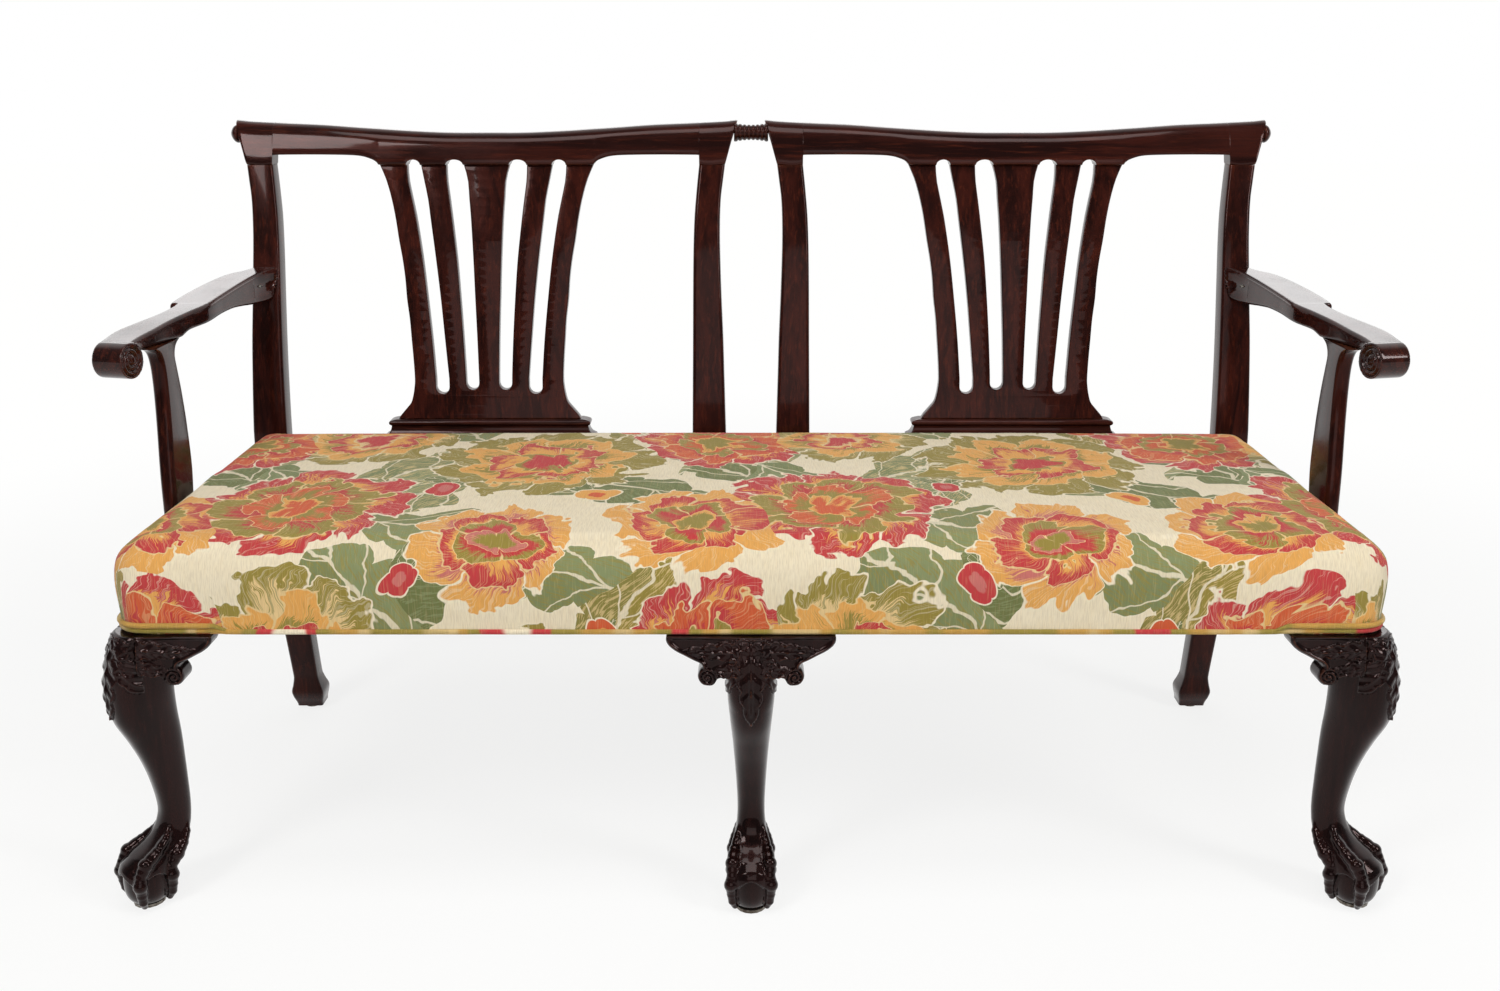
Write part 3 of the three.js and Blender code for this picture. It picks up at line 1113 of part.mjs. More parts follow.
const frameCeiling = RAIL_TOP + WEB_THICK + 2 * GLUE_GAP;
const frameRear = SEAT_DEPTH + OVERRUN;
const frameRight = [
  ...roundedCorner(SEAT_FRONT_HALF, 0, POST_CORNER, GLUE_GAP), [SEAT_FRONT_HALF + GLUE_GAP, POST_SIZE],
  [SEAT_REAR_HALF + 2 * GLUE_GAP, frameRear]];
const frameSpace = flatBoard([...frameRight, ...mirrorPath(frameRight)], 0, frameCeiling);
const holesBothSides = supportHoles.flatMap((hole) => [hole, mirrored(hole)]);
add("seat_stuffing", cut(seatSolid(COVER_SHEET + GLUE_GAP, coverLow), frameSpace, ...holesBothSides),
  cloth("wadding", 0xe6dcc4));
add("seat_cover", cut(seatSolid(0, coverLow), seatSolid(COVER_SHEET, coverLow - OVERRUN), frameSpace,
  ...holesBothSides), cloth("floral_fabric", 0xd8b98a));

// Piping: a round cord through hand-placed points, its sections kept upright
const CORD_SIDES = 8;
function cord(points, radius) {
  const path = points.map((point) => new THREE.Vector3(...point));
  const up = new THREE.Vector3(0, 0, 1);
  const rings = path.map((point, i) => {
    const before = path[Math.max(0, i - 1)];
    const after = path[Math.min(path.length - 1, i + 1)];
    const along = after.clone().sub(before).normalize();
    const across = along.clone().cross(up).normalize();
    const rise = across.clone().cross(along);
    return Array.from({ length: CORD_SIDES }, (_, k) => {
      const angle = 2 * Math.PI * k / CORD_SIDES;
      const p = point.clone()
        .addScaledVector(across, radius * Math.cos(angle))
        .addScaledVector(rise, radius * Math.sin(angle));
      return [p.x, p.y, p.z];
    });
  });
  return loft(rings);
}

const weltInset = COVER_FRONT - WELT_RADIUS - GLUE_GAP;
const weltZ = RAIL_BOTTOM + WELT_RADIUS;
const plan = seatPlan();
const rightPlan = plan.slice(0, SIDE_STEPS + CORNER_STEPS + 1 + FRONT_STEPS / 2);
function weltPoint(p, inset, z) {
  return [p.x - p.nx * inset, p.y - (p.ny > 0 ? 0 : p.ny * inset), z];
}
const weltRight = rightPlan.map((p) => weltPoint(p, weltInset, weltZ));
const weltLeft = weltRight.slice(0, -1).reverse().map(([x, y, z]) => [-x, y, z]);
add("seat_welt", cord([...weltRight, ...weltLeft], WELT_RADIUS), cloth("floral_piping", 0xb89a4a));

// A second cord lies over the first round each front corner, above the knee and its brackets
const kneeWeltReach = POST_HALF + KNEE_HALF + BRACKET_WIDTH;
const kneeWeltInset = COVER_DRAWN_IN - WELT_RADIUS - GLUE_GAP * 2;
const kneeWeltZ = weltZ + 2 * WELT_RADIUS + GLUE_GAP;
const cornerPlan = rightPlan.slice(SIDE_STEPS, SIDE_STEPS + CORNER_STEPS + 1);
const kneeWeltPoints = [
  [sideOuter(kneeWeltReach) + COVER_SIDE - kneeWeltInset, kneeWeltReach, kneeWeltZ],
  ...cornerPlan.map((p) => weltPoint(p, kneeWeltInset, kneeWeltZ)),
  [SEAT_FRONT_HALF - kneeWeltReach, -COVER_FRONT + kneeWeltInset, kneeWeltZ],
];
addPair("knee_welt", cord(kneeWeltPoints, WELT_RADIUS), () => cloth("floral_piping", 0xb89a4a));

// Black cloth tacked under the rails, notched round the legs
function dustCloth() {
  const front = bracketBack + GLUE_GAP;
  const notch = POST_SIZE + KNEE_HALF + GLUE_GAP;
  const edge = SEAT_REAR_HALF - BRACKET_THICK;
  const centre = KNEE_HALF + LEG_BACK;
  const back = SEAT_DEPTH - GLUE_GAP;
  const right = [
    [centre, notch], [centre, front], [edge - notch, front], [edge - notch, notch], [edge, notch],
    [edge, back]];
  const top = RAIL_BOTTOM - GLUE_GAP;
  return flatBoard([...right, ...mirrorPath(right)], top - DUST_SHEET, top);
}
add("dust_cloth", dustCloth(), cloth("black_lining", 0x17161a));

// The finished settee stands with the middle of its box over the origin
const bounds = new THREE.Box3().setFromObject(settee);
settee.position.set(-(bounds.min.x + bounds.max.x) / 2, -(bounds.min.y + bounds.max.y) / 2, -bounds.min.z);

export default settee;
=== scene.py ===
"""A double chair-back settee in polished mahogany with a stuffed floral seat, in a plain studio."""

import math

import bmesh
import bpy
from mathutils import Matrix, Vector, noise


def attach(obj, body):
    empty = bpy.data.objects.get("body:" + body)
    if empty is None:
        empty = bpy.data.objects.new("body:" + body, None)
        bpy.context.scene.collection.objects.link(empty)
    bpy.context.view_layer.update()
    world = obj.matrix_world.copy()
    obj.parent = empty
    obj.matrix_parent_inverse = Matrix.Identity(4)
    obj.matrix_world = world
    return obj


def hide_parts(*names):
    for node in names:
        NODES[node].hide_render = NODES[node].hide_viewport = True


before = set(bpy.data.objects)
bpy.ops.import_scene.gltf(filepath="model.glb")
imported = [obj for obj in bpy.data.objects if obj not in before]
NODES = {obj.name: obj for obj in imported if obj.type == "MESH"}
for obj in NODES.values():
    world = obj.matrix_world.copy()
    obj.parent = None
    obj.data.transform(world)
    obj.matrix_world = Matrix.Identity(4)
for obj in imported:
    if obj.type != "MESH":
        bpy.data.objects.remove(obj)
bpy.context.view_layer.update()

# The front face of the seat frame, depth 0 of the design, lies this far before the row frame's middle.
DEPTH_SHIFT = 294.13
def place(x, y, z):
    """A point of the design, in millimetres and with y behind the seat frame's face, in the row frame."""
    return Vector((x / 1000, (y - DEPTH_SHIFT) / 1000, z / 1000))


def design_place(co):
    """The way back: a point of the row frame in millimetres of the design."""
    return co.x * 1000, co.y * 1000 + DEPTH_SHIFT, co.z * 1000


def clamp(share):
    return max(0, min(1, share))


def bell(away, width):
    """1 in the middle, falling smoothly to nothing some widths away."""
    return math.exp(-((away / width) ** 2))


# Stage. The camera is fitted to the photograph.

CAMERA_AT = (0, -1.88213, 1.016)
CAMERA_DOWN = 17.1
CAMERA_LENS = 34.8
CAMERA_SHIFT = -0.0007
FLOOR_SIZE = 24
# Name, place, height of the aim above the floor, width and height of the lamp, and power in watts
LAMPS = [
    ("key_lamp", (-1.7, -2.2, 2.7), 0.5, (0.8, 1.2), 42),
    ("side_lamp", (2.3, -1.5, 2.0), 0.5, (0.6, 1.3), 32),
    ("top_lamp", (0, -0.7, 3.1), 0.4, (2.4, 0.8), 32),
    ("front_lamp", (0.2, -3.6, 1.5), 0.4, (2.8, 1.4), 20),
    ("back_lamp", (0, 2.9, 1.95), 0.6, (5.2, 0.8), 20),
]


def make_camera():
    data = bpy.data.cameras.new("camera")
    data.sensor_width = 36
    data.lens = CAMERA_LENS
    data.shift_x = CAMERA_SHIFT
    camera = new_object("camera", data)
    camera.location = CAMERA_AT
    camera.rotation_euler = (math.radians(90 - CAMERA_DOWN), 0, 0)
    bpy.context.scene.camera = camera


def light_stage():
    for name, at, aim_height, size, power in LAMPS:
        data = bpy.data.lights.new(name, "AREA")
        data.shape = "RECTANGLE"
        data.size, data.size_y = size
        data.energy = power
        lamp = new_object(name, data)
        lamp.location = at
        aim_line = Vector((0, 0, aim_height)) - Vector(at)
        lamp.rotation_euler = aim_line.to_track_quat("-Z", "Y").to_euler()


def light_world():
    """Dim all round for the lamps to work against. The camera sees it white, and gloss a white backdrop."""
    world = bpy.data.worlds.new("studio_world")
    bpy.context.scene.world = world
    world.use_nodes = True
    g = Graph(world.node_tree)
    depth = g.parts(g.node("ShaderNodeTexCoord").outputs["Generated"])[1]
    behind = g.ray("Is Glossy Ray") * g.ramp(depth, -0.05, 0.4)
    seen = g.math("MAXIMUM", g.ray("Is Camera Ray"), g.ray("Is Transmission Ray"))
    plain = g.node("ShaderNodeBackground", {"Color": (0.95, 0.97, 1, 1), "Strength": 0.2})
    white = g.node("ShaderNodeBackground", {"Color": (1, 1, 1, 1), "Strength": 1.0})
    g.show(g.node("ShaderNodeOutputWorld"), g.math("MAXIMUM", seen, behind), plain, white)


def make_floor():
    bpy.ops.mesh.primitive_grid_add(x_subdivisions=2, y_subdivisions=2, size=FLOOR_SIZE)
    floor = bpy.context.object
    floor.name = "studio_floor"
    floor.data.materials.append(floor_material())


def floor_material():
    """Pale paper. To the camera and to gloss it is mostly plain white, which leaves a soft shadow."""
    g = Surface("studio_paper")
    at = g.place()
    cloud = g.noise(at, 0.7, 2, 0.5)
    g.set(Base_Color=g.mix(g.ramp(cloud, 0.3, 0.7), srgb(243, 243, 240), srgb(247, 247, 245)))
    g.set(Roughness=0.9, Specular_IOR_Level=0.1)
    seen = g.math("MAXIMUM", g.ray("Is Camera Ray"), g.ray("Is Glossy Ray"))
    seen = g.math("MAXIMUM", seen, g.ray("Is Transmission Ray"))
    white = g.node("ShaderNodeEmission", {"Color": (1, 1, 0.995, 1), "Strength": 1.0})
    g.show(g.out, seen * g.ramp(g.length(at), 1.1, 2.6, 0.82, 1.0), g.shader, white)
    return g.material


# Materials


def srgb(red, green, blue):
    """A colour on the usual 0 to 255 scale as the linear values that shaders take."""
    shares = [value / 255 for value in (red, green, blue)]
    return (*[s / 12.92 if s < 0.04 else ((s + 0.055) / 1.055) ** 2.4 for s in shares], 1)


class Value:
    """What a node gives, so that a sum of such numbers is written as a sum."""

    def __init__(self, graph, socket):
        self.graph, self.socket = graph, socket

    def __add__(self, other):
        return self.graph.math("ADD", self, other)

    def __sub__(self, other):
        return self.graph.math("SUBTRACT", self, other)

    def __rsub__(self, other):
        return self.graph.math("SUBTRACT", other, self)

    def __mul__(self, other):
        return self.graph.math("MULTIPLY", self, other)

    def __truediv__(self, other):
        return self.graph.math("DIVIDE", self, other)

    def __pow__(self, power):
        return self.graph.math("POWER", self, power)

    def __abs__(self):
        return self.graph.math("ABSOLUTE", self)


class Graph:
    """Short ways to add nodes to a tree. An input may be a number, a colour, a socket or a Value."""

    def __init__(self, tree):
        self.tree = tree
        tree.nodes.clear()

    def feed(self, socket, value):
        if isinstance(value, Value):
            value = value.socket
        if isinstance(value, bpy.types.NodeSocket):
            self.tree.links.new(value, socket)
        else:
            socket.default_value = value

    def node(self, kind, inputs=None, **settings):
        made = self.tree.nodes.new(kind)
        for name, value in settings.items():
            setattr(made, name, value)
        for name, value in (inputs or {}).items():
            self.feed(made.inputs[name], value)
        return made

    def filled(self, made, values, output=0):
        """Feeds a node's inputs in their order and gives one of its outputs."""
        for socket, value in zip(made.inputs, values):
            self.feed(socket, value)
        return Value(self, made.outputs[output])

    def math(self, operation, *values):
        return self.filled(self.node("ShaderNodeMath", operation=operation), values)

    def vector(self, operation, *values):
        return self.filled(self.node("ShaderNodeVectorMath", operation=operation), values)

    def length(self, vector):
        return self.filled(self.node("ShaderNodeVectorMath", operation="LENGTH"), [vector], 1)

    def parts(self, vector):
        made = self.node("ShaderNodeSeparateXYZ", {"Vector": vector})
        return [Value(self, socket) for socket in made.outputs]

    def mix(self, share, under, over):
        made = self.node("ShaderNodeMix", data_type="RGBA")
        for index, value in ((0, share), (6, under), (7, over)):
            self.feed(made.inputs[index], value)
        return Value(self, made.outputs[2])

    def ramp(self, value, low, high, start=0.0, end=1.0):
        """start where value is low, end where it is high and a smooth passage between them."""
        made = self.node("ShaderNodeMapRange", interpolation_type="SMOOTHSTEP")
        return self.filled(made, (value, low, high, start, end))

    def noise(self, at, scale, detail=3.0, rough=0.5, warp=0.0, kind="3D", output=0):
        inputs = {"Vector": at, "Scale": scale, "Detail": detail, "Roughness": rough, "Distortion": warp}
        return Value(self, self.node("ShaderNodeTexNoise", inputs, noise_dimensions=kind).outputs[output])

    def ray(self, kind):
        """1 for light rays of one kind and 0 for the rest."""
        return Value(self, self.node("ShaderNodeLightPath").outputs[kind])

    def place(self):
        """The place of a point in the row frame, in metres."""
        return self.node("ShaderNodeTexCoord").outputs["Object"]

    def cloth(self):
        """The place of a point on the flat cloth, in metres."""
        return self.node("ShaderNodeUVMap", uv_map=CLOTH_MAP).outputs[0]

    def scaled(self, at, x, y, z):
        return self.vector("MULTIPLY", at, (x, y, z))

    def bump(self, height, depth, strength=1.0, over=None):
        inputs = {"Height": height, "Distance": depth, "Strength": strength}
        if over:
            inputs["Normal"] = over
        return self.node("ShaderNodeBump", inputs).outputs[0]

    def edges(self, low, high):
        """1 on the sharp outer edges of a finely meshed piece and 0 in its hollows and flats."""
        return self.ramp(self.node("ShaderNodeNewGeometry").outputs["Pointiness"], low, high)

    def show(self, out, share, under, over):
        """Sends two shaders to an output, mixed by share."""
        both = self.node("ShaderNodeMixShader", {"Fac": share})
        self.feed(both.inputs[1], under.outputs[0])
        self.feed(both.inputs[2], over.outputs[0])
        self.feed(out.inputs["Surface"], both.outputs[0])


class Surface(Graph):
    """The graph of a new material with one principled shader."""

    def __init__(self, name):
        self.material = bpy.data.materials.new(name)
        self.material.use_nodes = True
        super().__init__(self.material.node_tree)
        self.shader = self.node("ShaderNodeBsdfPrincipled")
        self.out = self.node("ShaderNodeOutputMaterial")
        self.feed(self.out.inputs["Surface"], self.shader.outputs[0])

    def set(self, **inputs):
        for name, value in inputs.items():
            self.feed(self.shader.inputs[name.replace("_", " ")], value)


GRAIN_SCALES = {"x": (1, 14, 14), "y": (14, 1, 14), "z": (14, 14, 1)}


def polished_wood(name, axis, tints, gloss, coat=0.1, wear_and_shade=None):
    """Old polished wood with long figure along one axis, fine open pores, soft wear, rubbed edges and painted
    shade that darkens its hollows.
    """
    g = Surface(name)
    deep, mid, warm = tints
    at = g.place()
    along = g.scaled(at, *GRAIN_SCALES[axis])
    figure = g.noise(along, 3.2, 4, 0.6, 1.1)
    streaks = g.noise(along, 17, 3, 0.55, 0.4)
    cloud = g.noise(at, 5, 2, 0.5)
    colour = g.mix(g.ramp(figure, 0.36, 0.66), deep, mid)
    colour = g.mix(g.ramp(streaks, 0.5, 0.72) * 0.4, colour, warm)
    colour = g.mix(g.ramp(cloud, 0.42, 0.7) * 0.35, colour, deep)
    pores = g.noise(g.scaled(along, 1.6, 1.6, 1.6), 60, 2, 0.6)
    pore_share = g.ramp(pores, 0.6, 0.74)
    colour = g.mix(pore_share * 0.35, colour, srgb(12, 5, 4))
    if wear_and_shade:
        rubbed = g.edges(0.53, 0.6) * g.ramp(g.noise(at, 28, 3, 0.6), 0.35, 0.62)
        colour = g.mix(rubbed * 0.55, colour, wear_and_shade)
        # Painted shade: the hollows of a finely meshed piece are darkened almost to black.
        colour = g.mix(g.edges(0.47, 0.41), colour, srgb(6, 3, 3))
    haze = g.noise(at, 11, 4, 0.6)
    roughness = g.ramp(haze, 0.3, 0.75, gloss - 0.05, gloss + 0.1) + pore_share * 0.16
    relief = g.bump(g.noise(along, 9, 2, 0.5), 0.0003, 0.12)
    relief = g.bump(pores, 0.0001, 0.35, relief)
    g.set(Base_Color=colour, Roughness=roughness, Normal=relief, Coat_Weight=coat, Coat_Roughness=0.05)
    g.set(Specular_IOR_Level=0.5, Specular_Tint=srgb(128, 84, 78))
    return g.material


def wood_materials():
    """Mahogany by the axis of its grain, the darker carved mahogany and the plain rear rail's."""
    red = srgb(26, 9, 7), srgb(52, 20, 14), srgb(84, 36, 22)
    dark = srgb(9, 4, 4), srgb(25, 10, 9), srgb(42, 17, 13)
    woods = {}
    for axis, coat in zip("xyz", (0.2, 0.4, 0.12)):
        woods[axis] = polished_wood(f"mahogany_{axis}", axis, red, 0.17, coat, srgb(104, 58, 38))
    woods["carved"] = polished_wood("dark_mahogany", "z", dark, 0.14, 0.22, srgb(112, 62, 36))
    woods["plain"] = polished_wood("rail_mahogany", "x", red, 0.42)
    return woods


WOODS = wood_materials()
def beech_material():
    g = Surface("frame_beech")
    at = g.place()
    figure = g.noise(g.scaled(at, 2, 16, 16), 5, 4, 0.6, 0.8)
    colour = g.mix(g.ramp(figure, 0.35, 0.68), srgb(163, 126, 84), srgb(196, 160, 114))
    flecks = g.ramp(g.noise(g.scaled(at, 60, 220, 220), 2.2, 2, 0.5), 0.62, 0.7)
    colour = g.mix(flecks * 0.5, colour, srgb(120, 84, 52))
    saw_marks = g.noise(g.scaled(at, 420, 8, 8), 1.6, 2, 0.5)
    g.set(Base_Color=colour, Roughness=g.ramp(saw_marks, 0.2, 0.8, 0.62, 0.82))
    g.set(Normal=g.bump(saw_marks, 0.0004, 0.5))
    return g.material


def metal_material(name, bright, dull, roughness):
    """Aged metal: tarnish in clouds and fine scratches."""
    g = Surface(name)
    at = g.place()
    tarnish = g.ramp(g.noise(at, 120, 4, 0.65), 0.4, 0.66)
    scratches = g.noise(g.scaled(at, 3000, 300, 300), 1, 2, 0.5)
    g.set(Base_Color=g.mix(tarnish, bright, dull))
    g.set(Roughness=g.ramp(tarnish, 0, 1, roughness, roughness + 0.22), Metallic=1.0)
    g.set(Normal=g.bump(scratches, 0.0001, 0.3))
    return g.material


def woven(g, at, pitch):
    """Height of a plain weave in the plane of the first two axes: threads that pass over and under."""
    across, along = (abs(g.math("SINE", part * (math.pi / pitch))) for part in g.parts(at)[:2])
    return across * along


def lining_material():
    """Thin black cotton, dusty and a little faded."""
    g = Surface("black_lining")
    at = g.place()
    threads = woven(g, at, 0.0011)
    dust = g.ramp(g.noise(at, 9, 4, 0.6), 0.4, 0.72)
    colour = g.mix(dust, srgb(24, 22, 22), srgb(50, 46, 43))
    colour = g.mix(threads * 0.4, colour, srgb(66, 61, 57))
    g.set(Base_Color=colour, Roughness=g.ramp(dust, 0, 1, 0.86, 0.97), Specular_IOR_Level=0.2)
    g.set(Normal=g.bump(threads, 0.0003, 0.7))
    return g.material


def jute_material():
    g = Surface("jute_webbing")
    at = g.place()
    threads = woven(g, at, 0.0024)
    fibres = g.noise(g.scaled(at, 500, 500, 500), 1, 3, 0.6)
    colour = g.mix(g.ramp(fibres, 0.3, 0.7), srgb(132, 100, 62), srgb(178, 146, 100))
    colour = g.mix(threads * 0.5, srgb(84, 60, 36), colour)
    g.set(Base_Color=colour, Roughness=g.ramp(fibres, 0.2, 0.8, 0.85, 0.98))
    g.set(Normal=g.bump(threads, 0.0009, 0.8))
    return g.material


# Woven floral cloth. The flowers lie in a repeating field, in metres on the flat cloth.

CLOTH_MAP = "cloth_layout"
REPEAT = (0.66, 0.58, 1)
CREAM, PALE_GOLD = srgb(236, 223, 195), srgb(226, 196, 140)
CORAL, ROSE, ORANGE = srgb(192, 58, 62), srgb(198, 110, 104), srgb(208, 90, 52)
GOLD, OLIVE, SAGE, MOSS = srgb(226, 164, 84), srgb(148, 132, 58), srgb(132, 142, 98), srgb(108, 116, 68)

# x, y, radius, petals, turn and the colours of the rim, the ring, the heart and the strokes in it
BLOOMS = [
    (0.10, 0.13, 0.142, 8, 0.3, CORAL, OLIVE, ORANGE, GOLD),
    (0.38, 0.31, 0.158, 9, 1.1, OLIVE, GOLD, CORAL, OLIVE),
    (0.60, 0.07, 0.116, 7, 0.6, GOLD, CORAL, OLIVE, GOLD),
    (0.12, 0.43, 0.128, 7, 2.0, OLIVE, GOLD, CORAL, PALE_GOLD),
    (0.62, 0.41, 0.130, 8, 0.9, CORAL, ORANGE, OLIVE, GOLD),
    (0.36, 0.02, 0.104, 6, 2.7, GOLD, CORAL, OLIVE, ROSE),
]
# x, y, length, width, turn, colour and colour of the veins
LEAVES = [
    (0.15, 0.20, 0.220, 0.136, 0.7, SAGE, PALE_GOLD),
    (0.00, 0.21, 0.210, 0.120, 2.0, MOSS, SAGE),
    (0.18, 0.07, 0.200, 0.130, -0.3, SAGE, OLIVE),
    (0.44, 0.24, 0.210, 0.130, -0.8, MOSS, SAGE),
    (0.29, 0.43, 0.220, 0.130, 2.2, SAGE, OLIVE),
    (0.46, 0.42, 0.190, 0.120, 0.8, OLIVE, PALE_GOLD),
    (0.52, 0.14, 0.190, 0.116, 2.4, SAGE, OLIVE),
    (0.06, 0.36, 0.190, 0.116, -2.7, SAGE, PALE_GOLD),
    (0.18, 0.50, 0.210, 0.130, 0.3, MOSS, SAGE),
    (0.54, 0.52, 0.200, 0.120, 2.8, SAGE, OLIVE),
    (0.28, 0.24, 0.170, 0.110, -2.2, SAGE, PALE_GOLD),
    (0.66, 0.31, 0.180, 0.112, -1.2, SAGE, MOSS),
]
# x, y, radius, turn and the colours of the bud
BUDS = [
    (0.255, 0.185, 0.026, 1.4, CORAL, ROSE),
    (0.47, 0.155, 0.024, 1.0, GOLD, ORANGE),
    (0.26, 0.53, 0.024, 0.9, CORAL, ROSE),
    (0.49, 0.47, 0.022, 0.2, ORANGE, GOLD),
]


def lobed(g, angle, petals, depth):
    """Radius of a lobed rim, 1 at the middle of a petal and less between two, and the wave behind it."""
    wave = abs(g.math("SINE", angle * petals * 0.5))
    return wave**0.55 * depth + (1 - depth), wave


def nearest(g, spots):
    """Distance to the nearest of many motifs, and that motif's own coordinates and other values."""
    best = chosen = None
    for local, values in spots:
        far = g.length(local)
        if best is None:
            best, chosen = far, [local, *values]
            continue
        closer = g.math("LESS_THAN", far, best)
        best = g.math("MINIMUM", far, best)
        chosen = [g.mix(closer, old, new) for old, new in zip(chosen, [local, *values])]
    return best, chosen


def around(g, at, x, y, turn, long, wide):
    """A place as seen from a motif's nearest repeat, turned its way and as shares of its size."""
    half = tuple(size / 2 for size in REPEAT)
    away = g.vector("WRAP", g.vector("SUBTRACT", at, (x, y, 0)), half, tuple(-h for h in half))
    turned_away = g.node("ShaderNodeVectorRotate", {"Vector": away, "Angle": -turn}, rotation_type="Z_AXIS")
    return g.scaled(turned_away.outputs[0], 1 / long, 1 / wide, 0)


def bloom_layer(g, at, rough, under):
    """Open flowers: four rings of frilled petals, hatched from their feet and outlined in a pale line."""
    spots = []
    for x, y, radius, petals, turn, *tints in BLOOMS:
        spots.append((around(g, at, x, y, turn, radius, radius), [(petals, 0, 0, 1), *tints]))
    far, (away, petals, rim, ring, heart, stroke) = nearest(g, spots)
    petals = g.parts(petals)[0]
    across, along, _ = g.parts(away)
    far = far + rough * 0.4
    angle = g.math("ARCTAN2", along, across) + far * 0.8
    spread = {"X": g.math("COSINE", angle), "Y": g.math("SINE", angle), "Z": far}
    spread = g.node("ShaderNodeCombineXYZ", spread)
    hatch = g.noise(g.scaled(spread.outputs[0], 46, 46, 3.5), 1, 2, 0.5)
    # Size, how many petals fewer, depth of the lobes, turn, and colours of the petals, their feet and lines
    rings = [
        (1.0, 0.0, 0.2, 0.0, rim, stroke, CREAM), (0.74, 1.0, 0.22, 0.6, ring, rim, PALE_GOLD),
        (0.5, 3.0, 0.28, 1.4, heart, ring, PALE_GOLD), (0.27, 4.0, 0.34, 0.4, stroke, heart, PALE_GOLD),
    ]
    colour = under
    for size, fewer, depth, shift, tint, foot, line in rings:
        edge, wave = lobed(g, angle + shift, petals - fewer, depth)
        inside = far / (edge * size)
        colour = g.mix(g.ramp(inside, 1.0, 0.985), colour, line)
        shaded = g.mix(g.ramp(inside + hatch * 0.7, 1.1, 1.05), tint, foot)
        tips = g.ramp(hatch, 0.55, 0.6) * g.ramp(inside, 0.55, 0.8)
        shaded = g.mix(tips * 0.3, shaded, line)
        gap = g.ramp(wave, 0.09, 0.05) * g.ramp(inside, 0.5, 0.7)
        colour = g.mix(g.ramp(inside, 0.972, 0.955), colour, g.mix(gap, shaded, line))
    return colour


def leaf_layer(g, at, rough, under, leaves):
    """Lobed leaves with a midrib, side veins, hatching and a darker half."""
    spots = []
    for x, y, length, width, turn, tint, vein in leaves:
        middle = x + math.cos(turn) * length / 2, y + math.sin(turn) * length / 2
        spots.append((around(g, at, *middle, turn, length, width), [tint, vein]))
    local, tint, vein = nearest(g, spots)[1]
    along, across, _ = g.parts(local)
    share = along + 0.5
    aside = across - share * share * 0.3 + rough * 0.14
    span = abs(aside)
    hump = share * (1.0 - share) * 4.0
    teeth = abs(g.math("SINE", share * 9.6))
    reach = g.math("MAXIMUM", hump, 0.0) ** 0.72 * 0.5
    edge = reach * (teeth**0.7 * 0.34 + 0.7) - span
    ribs = abs(g.math("FRACT", share * 3.05 - span / 0.42) - 0.5)
    lines = g.math("MAXIMUM", g.ramp(ribs, 0.04, 0.02), g.ramp(span, 0.024, 0.014))
    strokes = g.noise(g.scaled(local, 9, 60, 1), 1, 2, 0.5, kind="2D")
    body = g.mix(g.ramp(aside, -0.01, 0.01, 0, 0.4), tint, MOSS)
    body = g.mix(g.ramp(strokes, 0.53, 0.58, 0, 0.6), body, vein)
    body = g.mix(lines * 0.8, body, CREAM)
    colour = g.mix(g.ramp(edge, 0.0, 0.006), under, CREAM)
    return g.mix(g.ramp(edge, 0.018, 0.024), colour, body)


def bud_layer(g, at, rough, under):
    """Closed flowers with a tip of another colour."""
    spots = [(around(g, at, x, y, turn, size, size), [tint, tip]) for x, y, size, turn, tint, tip in BUDS]
    far, (away, tint, tip) = nearest(g, spots)
    across, along, _ = g.parts(away)
    edge = lobed(g, g.math("ARCTAN2", along, across), 4.0, 0.2)[0]
    inside = (far + rough * 0.3) / edge
    colour = g.mix(g.ramp(inside, 1.06, 1.03), under, CREAM)
    body = g.mix(g.ramp(inside, 0.5, 0.42), tint, tip)
    return g.mix(g.ramp(inside, 0.97, 0.94), colour, body)


def floral_pattern(g, at):
    """The colour at a place on the flat cloth: leaves first, then flowers and buds over them."""
    drift = g.vector("SUBTRACT", g.noise(at, 7, 2, 0.5, kind="2D", output=1), (0.5, 0.5, 0.5))
    at = g.vector("ADD", at, g.scaled(drift, 0.07, 0.07, 0))
    rough = g.noise(at, 34, 2, 0.5, kind="2D") - 0.5
    colour = g.mix(g.noise(at, 30, 2, 0.5, kind="2D"), CREAM, srgb(231, 216, 184))
    sepals = []
    for x, y, radius, turn, *_ in BUDS:
        sepals += [(x, y, radius * 2.3, radius * 0.9, turn + side, MOSS, SAGE) for side in (-0.55, 0.55)]
    colour = leaf_layer(g, at, rough, colour, LEAVES[::2])
    colour = leaf_layer(g, at, rough, colour, LEAVES[1::2] + sepals)
    colour = bloom_layer(g, at, rough, colour)
    return bud_layer(g, at, rough, colour)


def woven_finish(g, at, colour, pitch):
    """Fine broken stripes of the weft, a faint slub and the weave's relief."""
    threads = woven(g, at, pitch)
    slub = g.noise(g.scaled(at, 900, 60, 1), 1, 2, 0.6, kind="2D")
    stripe = g.noise(g.scaled(at, 700, 26, 1), 1, 2, 0.55, kind="2D")
    colour = g.mix(g.ramp(stripe, 0.56, 0.7, 0, 0.16), colour, PALE_GOLD)
    colour = g.mix(g.ramp(slub, 0.62, 0.32, 0, 0.16), colour, srgb(120, 84, 50))
    g.set(Base_Color=colour, Roughness=g.ramp(slub, 0.3, 0.7, 0.8, 0.95), Specular_IOR_Level=0.3)
    g.set(Normal=g.bump(threads + slub * 0.6, 0.0004, 0.6), Sheen_Weight=0.12, Sheen_Roughness=0.4)


def floral_material():
    g = Surface("floral_fabric")
    at = g.cloth()
    woven_finish(g, at, floral_pattern(g, at), 0.0009)
    return g.material


